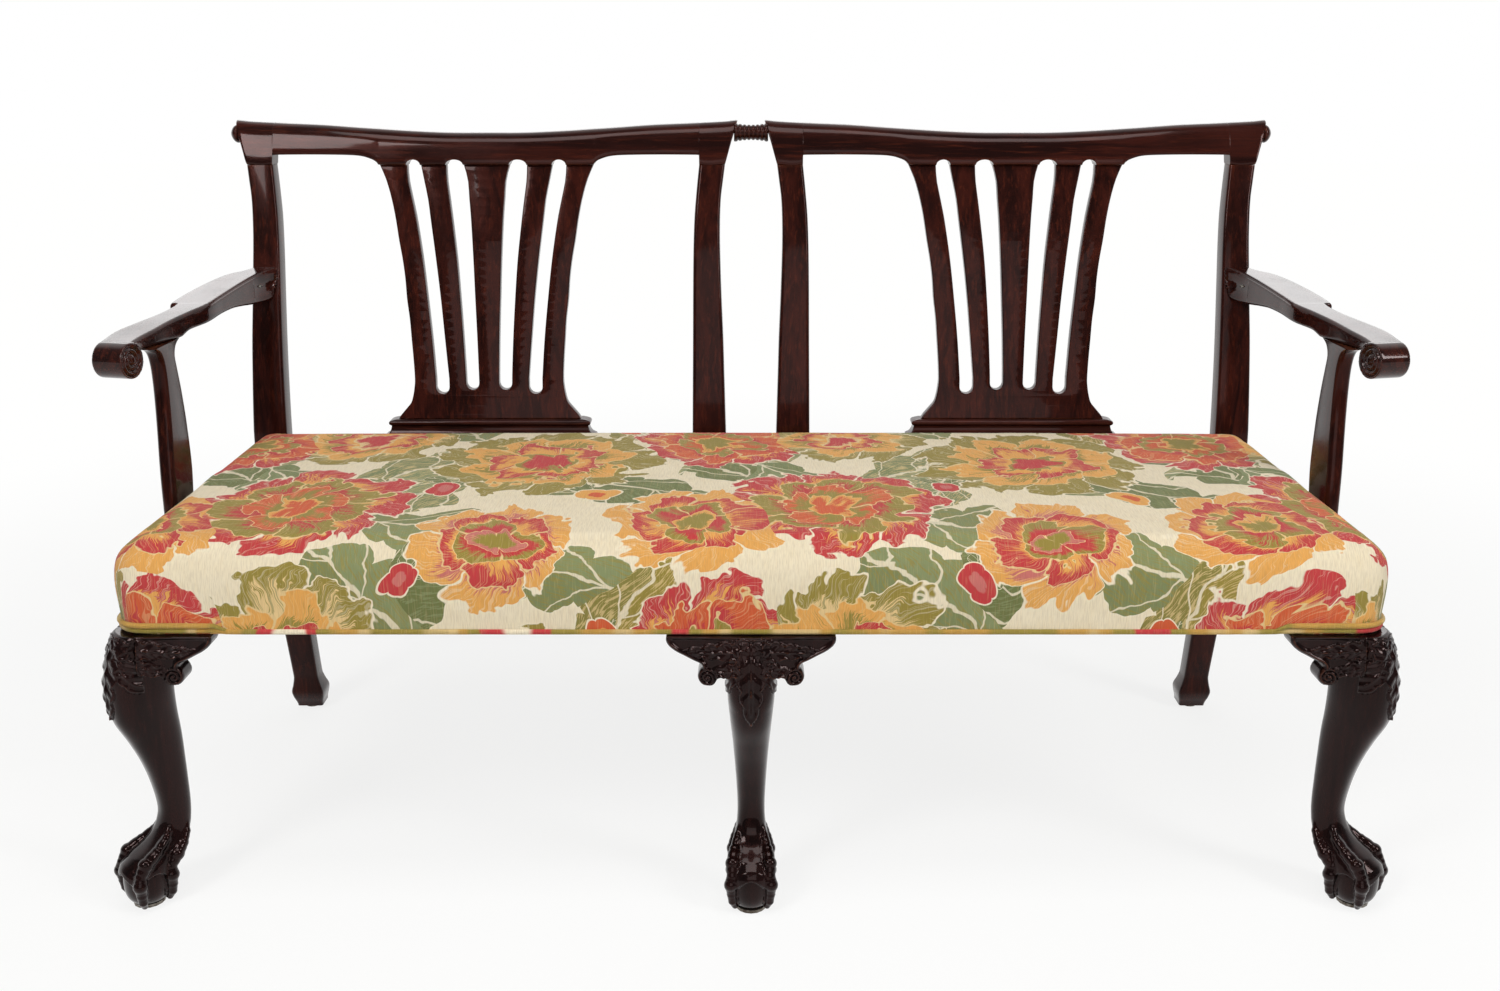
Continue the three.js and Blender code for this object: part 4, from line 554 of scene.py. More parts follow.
def piping_material():
    """The same cloth cut on the bias, so that its colours pass in bands along the cord."""
    g = Surface("floral_piping")
    at = g.cloth()
    band = g.noise(g.scaled(at, 1, 0.3, 1), 7, 2, 0.4, kind="2D")
    colour = OLIVE
    bands = [(0.34, 0.4, srgb(206, 178, 122)), (0.43, 0.47, srgb(188, 146, 70)), (0.5, 0.54, OLIVE),
             (0.6, 0.62, CORAL), (0.67, 0.7, CREAM)]
    for low, high, tint in bands:
        colour = g.mix(g.ramp(band, low, high), colour, tint)
    woven_finish(g, at, colour, 0.0008)
    return g.material


# Shapes. Lengths are in millimetres of the design until place() makes them metres.

GAP = 0.3
GLIDE_TOP = 4.3
RAIL_LOW, RAIL_TOP = 357, 440
REAR_RAIL_TOP = 458.3
BACK_CENTRE = 389.5
BACK_FRONT = 500
BACK_BASE, BACK_JOINT, BACK_TOP = 473, 854, 917
BACK_LEAN, REAR_LEG_LEAN = 106, 50
CREST_DEPTH = 30
POST_DEPTH = 33


def rake(z):
    """How far the back leans behind its foot, and the rear leg behind the seat, at a height."""
    above = BACK_LEAN * max(0, (z - RAIL_TOP) / (BACK_TOP - RAIL_TOP)) ** 1.35
    return above + REAR_LEG_LEAN * max(0, (RAIL_LOW - z) / RAIL_LOW) ** 1.7


def through(points):
    """A smooth curve through (x, value) points, as a function of x."""

    def value(x):
        x = min(max(x, points[0][0]), points[-1][0])
        i = max(k for k in range(len(points) - 1) if points[k][0] <= x)
        (x0, v0), (x1, v1) = points[i], points[i + 1]
        before, after = points[max(i - 1, 0)], points[min(i + 2, len(points) - 1)]
        slope0 = (v1 - before[1]) / (x1 - before[0])
        slope1 = (after[1] - v0) / (after[0] - x0)
        span = x1 - x0
        t = (x - x0) / span
        low = (2 * t**3 - 3 * t**2 + 1) * v0 + (t**3 - 2 * t**2 + t) * span * slope0
        return low + (3 * t**2 - 2 * t**3) * v1 + (t**3 - t**2) * span * slope1

    return value


def steps(low, high, count):
    return [low + (high - low) * i / count for i in range(count + 1)]


def circle(count):
    """Angles evenly round a full turn."""
    return [2 * math.pi * k / count for k in range(count)]


def new_object(name, data):
    made = bpy.data.objects.new(name, data)
    bpy.context.scene.collection.objects.link(made)
    return made


def shade(made, angle):
    """Smooth shading that keeps edges sharper than an angle."""
    for face in made.data.polygons:
        face.use_smooth = True
    made.data.set_sharp_from_angle(angle=math.radians(angle))


def from_bmesh(name, bm):
    mesh = bpy.data.meshes.new(name)
    bm.to_mesh(mesh)
    bm.free()
    return new_object(name, mesh)


def finish_mesh(name, bm, angle=40):
    bmesh.ops.recalc_face_normals(bm, faces=bm.faces)
    made = from_bmesh(name, bm)
    shade(made, angle)
    return made


def loft(name, rings, angle=40):
    """A closed skin over rings of points that all have one count."""
    bm = bmesh.new()
    rows = [[bm.verts.new(point) for point in ring] for ring in rings]
    count = len(rows[0])
    for low, high in zip(rows, rows[1:]):
        for k in range(count):
            n = (k + 1) % count
            bm.faces.new((low[k], low[n], high[n], high[k]))
    for row in (rows[0], rows[-1]):
        middle = bm.verts.new(sum((v.co for v in row), Vector()) / count)
        for k in range(count):
            bm.faces.new((row[k], row[(k + 1) % count], middle))
    return finish_mesh(name, bm, angle)


def rounded_box(x0, x1, y0, y1, radius, count=5):
    """Points of a rectangle with rounded corners."""
    points = []
    for x, y, start in ((x1, y1, 0), (x0, y1, 90), (x0, y0, 180), (x1, y0, 270)):
        cx = x - math.copysign(radius, x - (x0 + x1) / 2)
        cy = y - math.copysign(radius, y - (y0 + y1) / 2)
        for turn in steps(start, start + 90, count):
            angle = math.radians(turn)
            points.append((cx + radius * math.cos(angle), cy + radius * math.sin(angle)))
    return points


def settled_mesh(made):
    """The mesh that an object's modifiers or curve settings give."""
    return bpy.data.meshes.new_from_object(made.evaluated_get(bpy.context.evaluated_depsgraph_get()))


def settle(made):
    mesh = settled_mesh(made)
    made.modifiers.clear()
    made.data = mesh
    return made


def add_voxels(made, size):
    """Adds the remesh that gives one even skin."""
    remesh = made.modifiers.new("even", "REMESH")
    remesh.mode = "VOXEL"
    remesh.voxel_size = size
    remesh.use_smooth_shade = True


def normals_of(made):
    """The outward direction at each point, read before any point moves."""
    return [v.normal.copy() for v in made.data.vertices]


def gathered(parts):
    """Several pieces in one bmesh. The pieces themselves are removed."""
    bm = bmesh.new()
    for part in parts:
        bm.from_mesh(part.data)
        bpy.data.objects.remove(part)
    return bm


def fuse(name, parts, voxel, rounds):
    """One skin over overlapping parts, softened where they meet."""
    made = from_bmesh(name, gathered(parts))
    add_voxels(made, voxel)
    soften = made.modifiers.new("soften", "SMOOTH")
    soften.factor = 0.5
    soften.iterations = rounds
    return settle(made)


def mirrored(made, name):
    """A copy on the other side of the middle."""
    mesh = made.data.copy()
    mesh.transform(Matrix.Scale(-1, 4, (1, 0, 0)))
    mesh.flip_normals()
    return new_object(name, mesh)


def dress(made, material, slot, *nodes):
    """Gives a piece its finish and its place in the frame."""
    made.data.materials.clear()
    made.data.materials.append(material)
    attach(made, "root")
    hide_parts(*(nodes or (made.name.replace("fine_", ""),)))


def dress_pair(right, material, slot):
    """Dresses a piece named fine_NODE_right and its mirror image."""
    left = mirrored(right, right.name.replace("_right", "_left"))
    dress(right, material, slot)
    dress(left, material, slot)


# Chair backs. Widths are half distances from the middle of one back.

STILE_OUTER = through([
    (473, 352.1), (550, 349.9), (606, 348.4), (663, 346), (720, 344.1), (762, 343.5), (805, 344.9),
    (833, 348.4), (854, 351.2),
])
STILE_INNER = through([(473, 302.3), (588, 303.4), (720, 304.4), (777, 306.1), (816, 309.2), (854, 313.1)])
STILE_TOP = BACK_JOINT - GAP
STILE_EASE = 5


def stile_ring(z, inner, outer, back):
    """One level of a raked stile with eased edges."""
    front = BACK_FRONT + rake(z)
    return [place(x, y, z) for x, y in rounded_box(inner, outer, front, front + back, STILE_EASE)]


def make_inner_stiles():
    rings = []
    for z in [REAR_RAIL_TOP, *steps(466, 848, 40), STILE_TOP]:
        outer, inner = (BACK_CENTRE - edge(max(z, BACK_BASE)) for edge in (STILE_OUTER, STILE_INNER))
        rings.append(stile_ring(z, outer, inner, CREST_DEPTH))
    dress_pair(loft("fine_inner_stile_right", rings), WOODS["z"], "mahogany")


# How far the rear leg has widened into the post, and the half width of its foot
REAR_BLEND = through([(0, 0.06), (89, 0.1), (214, 0.45), (303, 0.85), (357, 1)])
REAR_FOOT = through([(4.3, 20), (12, 21.4), (22, 24), (32, 25), (44, 22), (56, 19.6), (66, 19)])
REAR_FOOT_TOP = 66
REAR_LEG_HALF = 19
REAR_POST_HALF = 24.9
REAR_LEG_INWARD = 6
POST_MIDDLE = BACK_CENTRE + (STILE_OUTER(BACK_BASE) + STILE_INNER(BACK_BASE)) / 2


def rear_leg_ring(z):
    """One level of a rear leg, whose foot swells to the sides, the front and the rear."""
    middle = POST_MIDDLE - REAR_LEG_INWARD * (1 - REAR_BLEND(z))
    half = REAR_LEG_HALF + (REAR_POST_HALF - REAR_LEG_HALF) * REAR_BLEND(z)
    if z < REAR_FOOT_TOP:
        half = max(half, REAR_FOOT(z))
    spread = max(0, half - 19.2) if z < 60 else 0
    front = BACK_FRONT + rake(z) - spread * 0.9
    ease = STILE_EASE if z >= 6 else 3.5
    points = rounded_box(middle - half, middle + half, front, front + POST_DEPTH + spread * 1.8, ease)
    return [place(x, y, z) for x, y in points]


def make_rear_posts():
    rings = [rear_leg_ring(z) for z in [GLIDE_TOP, 6, *steps(9, REAR_FOOT_TOP, 24), *steps(78, RAIL_LOW, 20)]]
    for z in steps(372, 468, 8):
        rings.append(stile_ring(z, POST_MIDDLE - REAR_POST_HALF, POST_MIDDLE + REAR_POST_HALF, POST_DEPTH))
    for z in [*steps(BACK_BASE, 848, 40), STILE_TOP]:
        back = POST_DEPTH - (POST_DEPTH - CREST_DEPTH) * max(0, (z - 780) / (BACK_JOINT - 780))
        rings.append(stile_ring(z, BACK_CENTRE + STILE_INNER(z), BACK_CENTRE + STILE_OUTER(z), back))
    dress_pair(loft("fine_rear_post_right", rings), WOODS["z"], "mahogany")


CREST_TOP = through([
    (0, 899), (55, 899.2), (111, 901.5), (168, 905), (198, 907), (241, 910), (300, 912.5), (351, 915),
    (370, 917),
])
CREST_BOTTOM = through([
    (0, 854), (157.5, 854), (160, 857), (164, 860), (171, 863), (182, 866), (198, 867.5), (250, 868.3),
    (305, 868), (312.4, 867.6), (313, 866.4), (313.3, 854), (370, 854),
])
# Depth behind the face and height share of the crest's section, from the front edge of its underside
CREST_SECTION = [
    (2.5, 0), (0.8, 0.03), (0, 0.1), (0, 0.25), (0, 0.42), (0.2, 0.56), (0.9, 0.68), (2.2, 0.78),
    (4.4, 0.87), (7.4, 0.94), (11, 0.98), (15.5, 1), (20, 0.99), (24.5, 0.95), (28, 0.87), (29.7, 0.76),
    (30, 0.6), (30, 0.3), (30, 0.1), (29.2, 0.03), (27.5, 0), (19, 0), (11, 0),
]
# Half length of the crest by height, which gives it slanted ends from CREST_STRAIGHT on
CREST_ENDS = through([(854, 351.2), (875, 357), (899, 364), (917, 370)])
CREST_STRAIGHT, CREST_HALF = 320, 370
# Middle and half width of the slots' round tops, which are cut into the crest
SLOT_TOPS = ((107.05, 10.25), (46.6, 12.8))
SLOT_RISE = 7.5


def slot_top(u):
    """Height of the round top of a splat's slot where one is cut into the crest, or else 0."""
    for middle, half in SLOT_TOPS:
        if abs(abs(u) - middle) < half:
            return BACK_JOINT + SLOT_RISE * math.sqrt(1 - ((abs(u) - middle) / half) ** 2)
    return 0


def crest_station(u, ease):
    """One section of the crest. ease draws the section in at the rounded ends."""
    low, high = CREST_BOTTOM(abs(u)) + 0.1, CREST_TOP(abs(u))
    beyond = max(0, abs(u) - CREST_STRAIGHT) / (CREST_HALF - CREST_STRAIGHT)
    ring = []
    for deep, share in CREST_SECTION:
        z = max(low + (high - low) * share, slot_top(u)) + ease * (0.5 - share)
        y = BACK_FRONT + rake(z) + deep + ease * 0.5 * (0.5 - deep / CREST_DEPTH)
        x = min(abs(u), CREST_STRAIGHT) + beyond * (CREST_ENDS(z) - CREST_STRAIGHT)
        ring.append(place(BACK_CENTRE + math.copysign(x, u), y, z))
    return ring


def make_crests():
    marks = {*steps(0, 368, 92), 158, 159, 161, 166, 311, 312.4, 312.8, 313.05, 313.3, 313.5}
    for middle, half in SLOT_TOPS:
        marks |= {middle + half * math.sin(math.radians(a)) for a in range(-90, 91, 12)}
    stations = [(u, 0) for u in sorted(marks)] + [(369.3, 1.2), (CREST_HALF, 3.4)]
    rings = [crest_station(-u, ease) for u, ease in reversed(stations)]
    rings += [crest_station(u, ease) for u, ease in stations[1:]]
    dress_pair(loft("fine_crest_rail_right", rings, 50), WOODS["x"], "mahogany")


SPLAT_EDGE = through([
    (489.3, 135.8), (494.6, 132.4), (505.6, 122.9), (512.9, 116.9), (522, 113.8), (534.8, 111.4),
    (547, 110.3), (577, 111.6), (606, 113.7), (635, 115.8), (663, 119.3), (692, 121.4), (720, 125),
    (748, 130), (777, 134.4), (805, 140.1), (833, 148.2), (853.7, 157.3),
])
SLOT_HEIGHTS = (548, 606, 663, 720, 777, 805, 833, 854)
# The two slots in half a splat: inner and outer side at those heights, and the foot
SLOTS = [
    ((59.2, 64.2, 69.3, 75.7, 83, 86.6, 92.4, 96.8),
     (79.2, 83.4, 89.1, 95.6, 104.3, 110.1, 115.9, 117.3), 526),
    ((14.8, 16.3, 18.4, 20.6, 23.5, 25.7, 27.9, 33.8), (34.1, 36.9, 40.5, 44.9, 51.4, 55, 58.7, 59.4), 532),
]
SLOT_FOOT = 10
SPLAT_SET_BACK, SPLAT_THICK = 8, 15


def slot_outline(inner_halves, outer_halves, bottom):
    """The edge of a slot, from the crest down its inner side, round its foot and up to the crest again."""
    inner, outer = (through(list(zip(SLOT_HEIGHTS, halves))) for halves in (inner_halves, outer_halves))
    heights = steps(bottom + SLOT_FOOT, STILE_TOP, 26)
    low = heights[0]
    middle, half = (inner(low) + outer(low)) / 2, (outer(low) - inner(low)) / 2
    turns = steps(0, math.pi, 12)[1:-1]
    foot = [(middle - half * math.cos(a), low - SLOT_FOOT * math.sin(a)) for a in turns]
    return [(inner(z), z) for z in reversed(heights)] + foot + [(outer(z), z) for z in heights]


def splat_outline():
    """The splat's edge as one line round the bars, open at the top where the crest closes the slots."""
    right = [(SPLAT_EDGE(z), z) for z in [*steps(489.3, 547, 22), *steps(556, STILE_TOP, 30)]]
    for slot in SLOTS:
        right += slot_outline(*slot)[::-1]
    return right + [(-u, z) for u, z in reversed(right)]


def sawn_board(name, outline, depth, ease, levels, reach):
    """A board sawn to an outline, its edges eased, cut across at levels so that it can bend, and placed by
    reach, a function of its own across, depth and height."""
    curve = bpy.data.curves.new(name, "CURVE")
    curve.dimensions = "2D"
    curve.fill_mode = "BOTH"
    curve.extrude = depth / 2 - ease
    curve.bevel_depth = ease
    curve.offset = -ease
    curve.bevel_resolution = 2
    line = curve.splines.new("POLY")
    line.points.add(len(outline) - 1)
    for spot, (u, z) in zip(line.points, outline):
        spot.co = (u, z, 0, 1)
    line.use_cyclic_u = True
    blank = new_object(name, curve)
    mesh = settled_mesh(blank)
    bpy.data.objects.remove(blank)
    bm = bmesh.new()
    bm.from_mesh(mesh)
    bmesh.ops.remove_doubles(bm, verts=bm.verts, dist=0.002)
    for z in levels:
        parts = bm.verts[:] + bm.edges[:] + bm.faces[:]
        bmesh.ops.bisect_plane(bm, geom=parts, plane_co=(0, z, 0), plane_no=(0, 1, 0))
    for v in bm.verts:
        v.co = reach(v.co.x, depth / 2 - v.co.z, v.co.y)
    return finish_mesh(name, bm)


def make_splats():
    def reach(u, deep, z):
        return place(BACK_CENTRE + u, BACK_FRONT + SPLAT_SET_BACK + deep + rake(z), z)

    made = sawn_board("fine_splat_right", splat_outline(), SPLAT_THICK, 1.6, steps(496, 846, 28), reach)
    dress_pair(made, WOODS["z"], "mahogany")


# Height, half width and how far the moulding of the shoe stands before the splat
SHOE_LEVELS = [
    (458.3, 157, 7.5), (459.5, 158, 8.4), (463, 158, 8.4), (465, 157.4, 8), (466, 155, 6.2),
    (467, 152.6, 4.6), (469, 150.6, 3), (472, 148.6, 1.4), (476, 147.3, 0.4), (479, 146.8, 0.1),
    (480, 147.6, 0.7), (481, 149.2, 1.9), (482.5, 150.2, 2.6), (484.5, 150.2, 2.6), (486.2, 149.2, 1.9),
    (487.2, 147.4, 0.9), (488.2, 143.5, -0.6), (489, 139.4, -2.4),
]
SHOE_FRONT, SHOE_REAR = 509.9, 533.7


def make_shoes():
    rings = []
    for z, half, proud in SHOE_LEVELS:
        points = rounded_box(BACK_CENTRE - half, BACK_CENTRE + half, SHOE_FRONT - proud, SHOE_REAR, 2.2)
        rings.append([place(x, y, z) for x, y in points])
    dress_pair(loft("fine_shoe_right", rings, 60), WOODS["x"], "mahogany")


# Turned pieces

SPOOL_HEIGHT, SPOOL_RINGS = 899, 8
BOSS_HEIGHT = 897
BOSS_PROFILE = [
    (-1.5, 9), (-1.5, 11), (0.2, 11.4), (0.8, 10.8), (1.4, 10.8), (2, 12), (3, 12.9), (4.4, 13), (6, 12.6),
    (7.8, 11.5), (9.4, 9.9), (10.8, 8), (12, 5.9), (13, 3.8), (13.7, 1.8), (13.9, 0.5),
]
TURNED_GAP = 0.4


def turned(name, profile, x, y, z, sides=48):
    """A piece turned about a line along X, from (along, radius) points."""
    turns = circle(sides)
    rings = [[place(x + along, y + radius * math.cos(a), z + radius * math.sin(a)) for a in turns]
             for along, radius in profile]
    return loft(name, rings, 50)


def make_spool():
    """Turned rings between the two crests, smallest at the middle."""
    end = BACK_CENTRE - CREST_ENDS(SPOOL_HEIGHT) - TURNED_GAP
    profile = [(-end, 9), (-end, 14.3)]
    for i in range(SPOOL_RINGS):
        for share, lift in ((0.08, 0), (0.22, 0.75), (0.5, 1), (0.78, 0.75), (0.92, 0)):
            along = -end + 2 * end * (i + share) / SPOOL_RINGS
            profile.append((along, 9.7 + 2.9 * (along / end) ** 2 + 1.5 * lift))
    profile += [(end, 14.3), (end, 9)]
    middle = BACK_FRONT + rake(SPOOL_HEIGHT) + CREST_DEPTH / 2
    made = turned("fine_crest_spool", profile, 0, middle, SPOOL_HEIGHT)
    dress(made, WOODS["x"], "mahogany", "crest_spool")


def make_bosses():
    """Buttons on the outer ends of the crests. Their backs follow the slant of those ends."""
    start = BACK_CENTRE + CREST_ENDS(BOSS_HEIGHT)
    middle = BACK_FRONT + rake(BOSS_HEIGHT) + CREST_DEPTH / 2
    made = turned("fine_crest_boss_right", BOSS_PROFILE, start + TURNED_GAP, middle, BOSS_HEIGHT)
    for v in made.data.vertices:
        slant = start + 0.31 * (v.co.z * 1000 - BOSS_HEIGHT)
        v.co.x = max(v.co.x, (slant + TURNED_GAP) / 1000)
    dress_pair(made, WOODS["x"], "mahogany")


# Arms. The curves go by the distance behind the front of the seat, and the supports' by height.

ARM_INNER = through([
    (187, 776.2), (227, 776), (262, 768.5), (299, 760.5), (339, 748), (371, 736.5), (411, 731), (468, 723),
    (508, 715), (530, 706), (550, 694.6),
])
ARM_OUTER_FRONT = through([
    (187, 825.6), (227, 823.5), (261, 820.5), (294, 808), (328, 793.5), (357, 785.5), (376, 784),
])
ARM_OUTER_REAR = through([
    (376, 791.5), (381, 793), (417, 789), (465, 779), (500, 768), (518, 758.5), (532, 744), (550, 732.5),
])
ARM_UNDERSIDE = through([
    (218, 640), (226, 645), (231, 649), (236, 650), (318, 650), (324, 652.6), (333, 656), (348, 658),
    (367, 660), (405, 665), (440, 667), (470, 665.5), (495, 663.4), (518, 663), (534, 664.5), (541, 668),
    (550, 674),
])
ARM_CUSP = 376
ARM_FRONT_TOP, ARM_RISE, ARM_LENGTH = 664, 48, 342.5
SCROLL_X, SCROLL_Y, SCROLL_Z = 799.4, 212, 641
SCROLL_TURN = math.radians(13)
SCROLL_EDGE = [(17, 23), (20, 22.8), (21.6, 22), (22, 20.8)]
SPIRAL_START, SPIRAL_END, SPIRAL_PITCH = 21.2, 4, 7.1


def arm_ring(y):
    """One cross-section of an arm, eased on its upper edges and slightly crowned."""
    inner = ARM_INNER(y)
    outer = ARM_OUTER_FRONT(y) if y < ARM_CUSP else ARM_OUTER_REAR(y)
    low = ARM_UNDERSIDE(y)
    top = ARM_FRONT_TOP + ARM_RISE * max(0, y - SCROLL_Y) / ARM_LENGTH
    middle, half = (inner + outer) / 2, (outer - inner) / 2
    ring = []
    for x, z in rounded_box(inner, outer, low, top, min(5, (top - low) * 0.3), 6):
        crown = 1.8 * ((x - middle) / half) ** 2 if z > (top + low) / 2 else 0
        ring.append((x, z - crown))
    return ring


def make_arm_body():
    """The arm without its scroll. Its rear end is cut to the rake of the post."""
    places = [*steps(SCROLL_Y, 372, 48), 375.2, 376.4, *steps(379, 536, 48)]
    rings = [[place(x, y, z) for x, z in arm_ring(y)] for y in places]
    for y in (542, 546, 549.6):
        rings.append([place(x, min(y, BACK_FRONT + rake(z) - GAP), z) for x, z in arm_ring(y)])
    return loft("arm_body", rings)


def scroll_place():
    """Turns the scroll square to the arm, which runs a little outward there."""
    pivot = Matrix.Translation(place(SCROLL_X, SCROLL_Y, SCROLL_Z))
    return pivot @ Matrix.Rotation(SCROLL_TURN, 4, "Z")


def make_scroll():
    """The rolled front end, a little wider than the arm behind it."""
    profile = [(-across, radius) for across, radius in reversed(SCROLL_EDGE)] + [(0, 23), *SCROLL_EDGE]
    made = turned("arm_scroll", profile, 0, DEPTH_SHIFT, 0, 64)
    made.data.transform(scroll_place())
    return made


def spiral_depth(far, angle):
    """Depth of the spiral groove and of the ground round its raised eye, in a scroll's end."""
    depth = 0
    for lap in range(3):
        wound = SPIRAL_START - SPIRAL_PITCH * ((angle + math.pi * 0.75) / (2 * math.pi) + lap)
        if SPIRAL_END < wound < SPIRAL_START:
            depth = max(depth, 3.2 * bell(far - wound, 1.5))
    return depth + 1.2 * clamp((far - 4.6) / 1.4)


def carve_arm(made):
    """A spiral in both ends of the scroll, and a scoop at the back of the inner side."""
    back = scroll_place().inverted()
    turned_back = back.to_3x3()
    for v, outward in zip(made.data.vertices, normals_of(made)):
        away = back @ v.co * 1000
        far = math.hypot(away.y, away.z)
        x, y, z = design_place(v.co)
        if far < 22.2 and abs(away.x) < 26 and abs((turned_back @ outward).x) > 0.5:
            v.co -= outward * spiral_depth(far, math.atan2(away.z, -away.y)) / 1000
        elif x < 722 and y > BACK_FRONT and outward.z < 0.5:
            v.co -= outward * 5 * bell(x - 702, 12) * bell(z - 682, 10) / 1000


def make_arms():
    made = fuse("fine_arm_right", [make_arm_body(), make_scroll()], 0.00115, 3)
    carve_arm(made)
    dress_pair(made, WOODS["y"], "mahogany")


SUPPORT_FRONT = through([
    (372, 222), (430, 222), (480, 230), (535, 244), (580, 251.5), (615, 254), (632, 252), (642, 247),
    (647, 240), (650, 232),
])
SUPPORT_REAR = through([
    (372, 284), (430, 284), (480, 298), (535, 304.6), (580, 303), (615, 298.4), (630, 297), (640, 302),
    (646, 310), (650, 322),
])
SUPPORT_INNER = through([(372, 751), (440, 752), (480, 754), (535, 757), (615, 759), (650, 759.9)])
SUPPORT_FOOT = 372
SUPPORT_THICK = 20


def make_supports():
    """The curved arm supports, whose front edges are bowed."""
    rings = []
    for z in [SUPPORT_FOOT, 373, *steps(378, 630, 42), *steps(634, 648.5, 10), 649.8]:
        inner, front = SUPPORT_INNER(z), SUPPORT_FRONT(z)
        middle, half = inner + SUPPORT_THICK / 2, SUPPORT_THICK / 2
        ease = 5.5 if z > SUPPORT_FOOT else 4
        ring = []
        for x, y in rounded_box(inner, inner + SUPPORT_THICK, front, SUPPORT_REAR(z), ease, 6):
            bow = 1.6 * (1 - ((x - middle) / half) ** 2) - 1 if y < front + 6 else 0
            ring.append(place(x, y - bow, z))
        rings.append(ring)
    dress_pair(loft("fine_arm_support_right", rings), WOODS["z"], "mahogany")


# Upholstery

SEAT_DEPTH = 500
SEAT_FRONT_HALF, SEAT_NARROWING = 747, 12
SEAT_REAR = 499.7
SEAT_TOP = 467
COVER_LOW = 357.6
FRAME_CEILING = 443.6
WRAP = 8.6
FRONT_WRAP = 5.6
CORNER_RADIUS, SIDE_ROLL, FRONT_ROLL, REAR_ROLL = 39, 38, 39, 8
# Height and how far the wall of the stuffing lies inside its plan there, up to the start of the roll
SEAT_WALL = [(346, 2.8), (358, 2.8), (368, 2.4), (376, 1.9), (386, 1.2), (400, 0.3), (414, 0), (428, 0.8)]


def side_outer(y):
    """Half width of the seat frame at a depth."""
    return SEAT_FRONT_HALF - SEAT_NARROWING * y / SEAT_DEPTH


def seat_top(x, y):
    """Height of the stuffed top: it rises a little to the back and is crowned in the middle."""
    across = max(0, 1 - (x / 756) ** 2)
    along = max(0, 1 - ((y - 250) / 256) ** 2)
    return SEAT_TOP + 7 * y / SEAT_DEPTH + 9 * across**0.8 * along**0.8


def shoulder(x, y):
    """How far the rear part of the stuffed top has fallen beside its side edge."""
    near = min(1, (abs(x) - side_outer(y) + 25.4) / 34)
    return 46 * (1 - math.sqrt(1 - near * near)) if near > 0 and y > 440 else 0


def round_seat():
    """Points round the plan of the seat, each with its way outward and the reach of the roll there."""
    half_rear = side_outer(SEAT_REAR) + WRAP
    side, front = SEAT_FRONT_HALF + WRAP, -FRONT_WRAP
    right = [(x, SEAT_REAR, 0, 1, REAR_ROLL) for x in steps(0, half_rear - 6, 53)]
    for turn in steps(math.pi / 2, 0, 4):
        nx, ny = math.cos(turn), math.sin(turn)
        right.append((half_rear - 6 + 6 * nx, SEAT_REAR - 6 + 6 * ny, nx, ny, REAR_ROLL + 24 * nx))
    right += [(side_outer(y) + WRAP, y, 1, 0, SIDE_ROLL) for y in steps(486, 38, 33)]
    for turn in steps(0, math.pi / 2, 12):
        nx, ny = math.cos(turn), -math.sin(turn)
        x, y = side - CORNER_RADIUS * (1 - nx), front + CORNER_RADIUS * (1 + ny)
        right.append((x, y, nx, ny, CORNER_RADIUS + 1))
    right += [(x, front, 0, -1, FRONT_ROLL) for x in steps(716, 0, 51)[1:]]
    left = [(-x, y, -nx, ny, roll) for x, y, nx, ny, roll in right[1:-1]]
    return right + left[::-1]


def seat_skin():
    """The closed outer form of the stuffed seat, a little slack, before it is blown up."""
    plan = round_seat()
    rings = [[place(x - nx * inset, y - ny * inset, z) for x, y, nx, ny, _ in plan] for z, inset in SEAT_WALL]
    for turn in steps(0.12, math.pi / 2, 8):
        ring = []
        for x, y, nx, ny, roll in plan:
            inset = 2 + (roll - 2) * (1 - math.cos(turn))
            px, py = x - nx * inset, y - ny * inset
            top = seat_top(px, py) - 3
            start = 430 if roll > 20 else 440
            z = top - (top - start) * (1 - math.sin(turn))
            ring.append(place(px, py, min(z, top - shoulder(px, py))))
        rings.append(ring)
    for share in (0.86, 0.7, 0.5, 0.3, 0.1):
        ring = []
        for x, y, nx, ny, roll in plan:
            px, py = x - nx * roll, y - ny * roll
            core = math.copysign(max(0, abs(px) - 250), px)
            px, py = core + (px - core) * share, 250 + (py - 250) * share
            ring.append(place(px, py, seat_top(px, py) - 3 - shoulder(px, py)))
        rings.append(ring)
    return loft("seat_skin", rings)


def blown_up(made, voxel, cap):
    """Cloth inflates the closed form, and no point moves further than cap."""
    add_voxels(made, voxel)
    settle(made)
    start = [(v.co.copy(), v.normal.copy()) for v in made.data.vertices]
    cloth = made.modifiers.new("cloth", "CLOTH")
    cloth.settings.use_pressure = True
    cloth.settings.uniform_pressure_force = 4
    cloth.settings.effector_weights.gravity = 0
    cloth.settings.quality = 3
    cloth.point_cache.frame_start, cloth.point_cache.frame_end = 1, 20
    for number in range(1, 21):
        bpy.context.scene.frame_set(number)
    settle(made)
    bpy.context.scene.frame_set(1)
    for v, (old, outward) in zip(made.data.vertices, start):
        v.co = old + outward * min(max((v.co - old).dot(outward), 0), cap)
    return made


def outline_solid(name, right, low, high):
    """An upright solid from the right half of its plan, which its mirror image completes."""
    outline = right + [(-x, y) for x, y in reversed(right)]
    return loft(name, [[place(x, y, z) for x, y in outline] for z in (low, high)], 30)


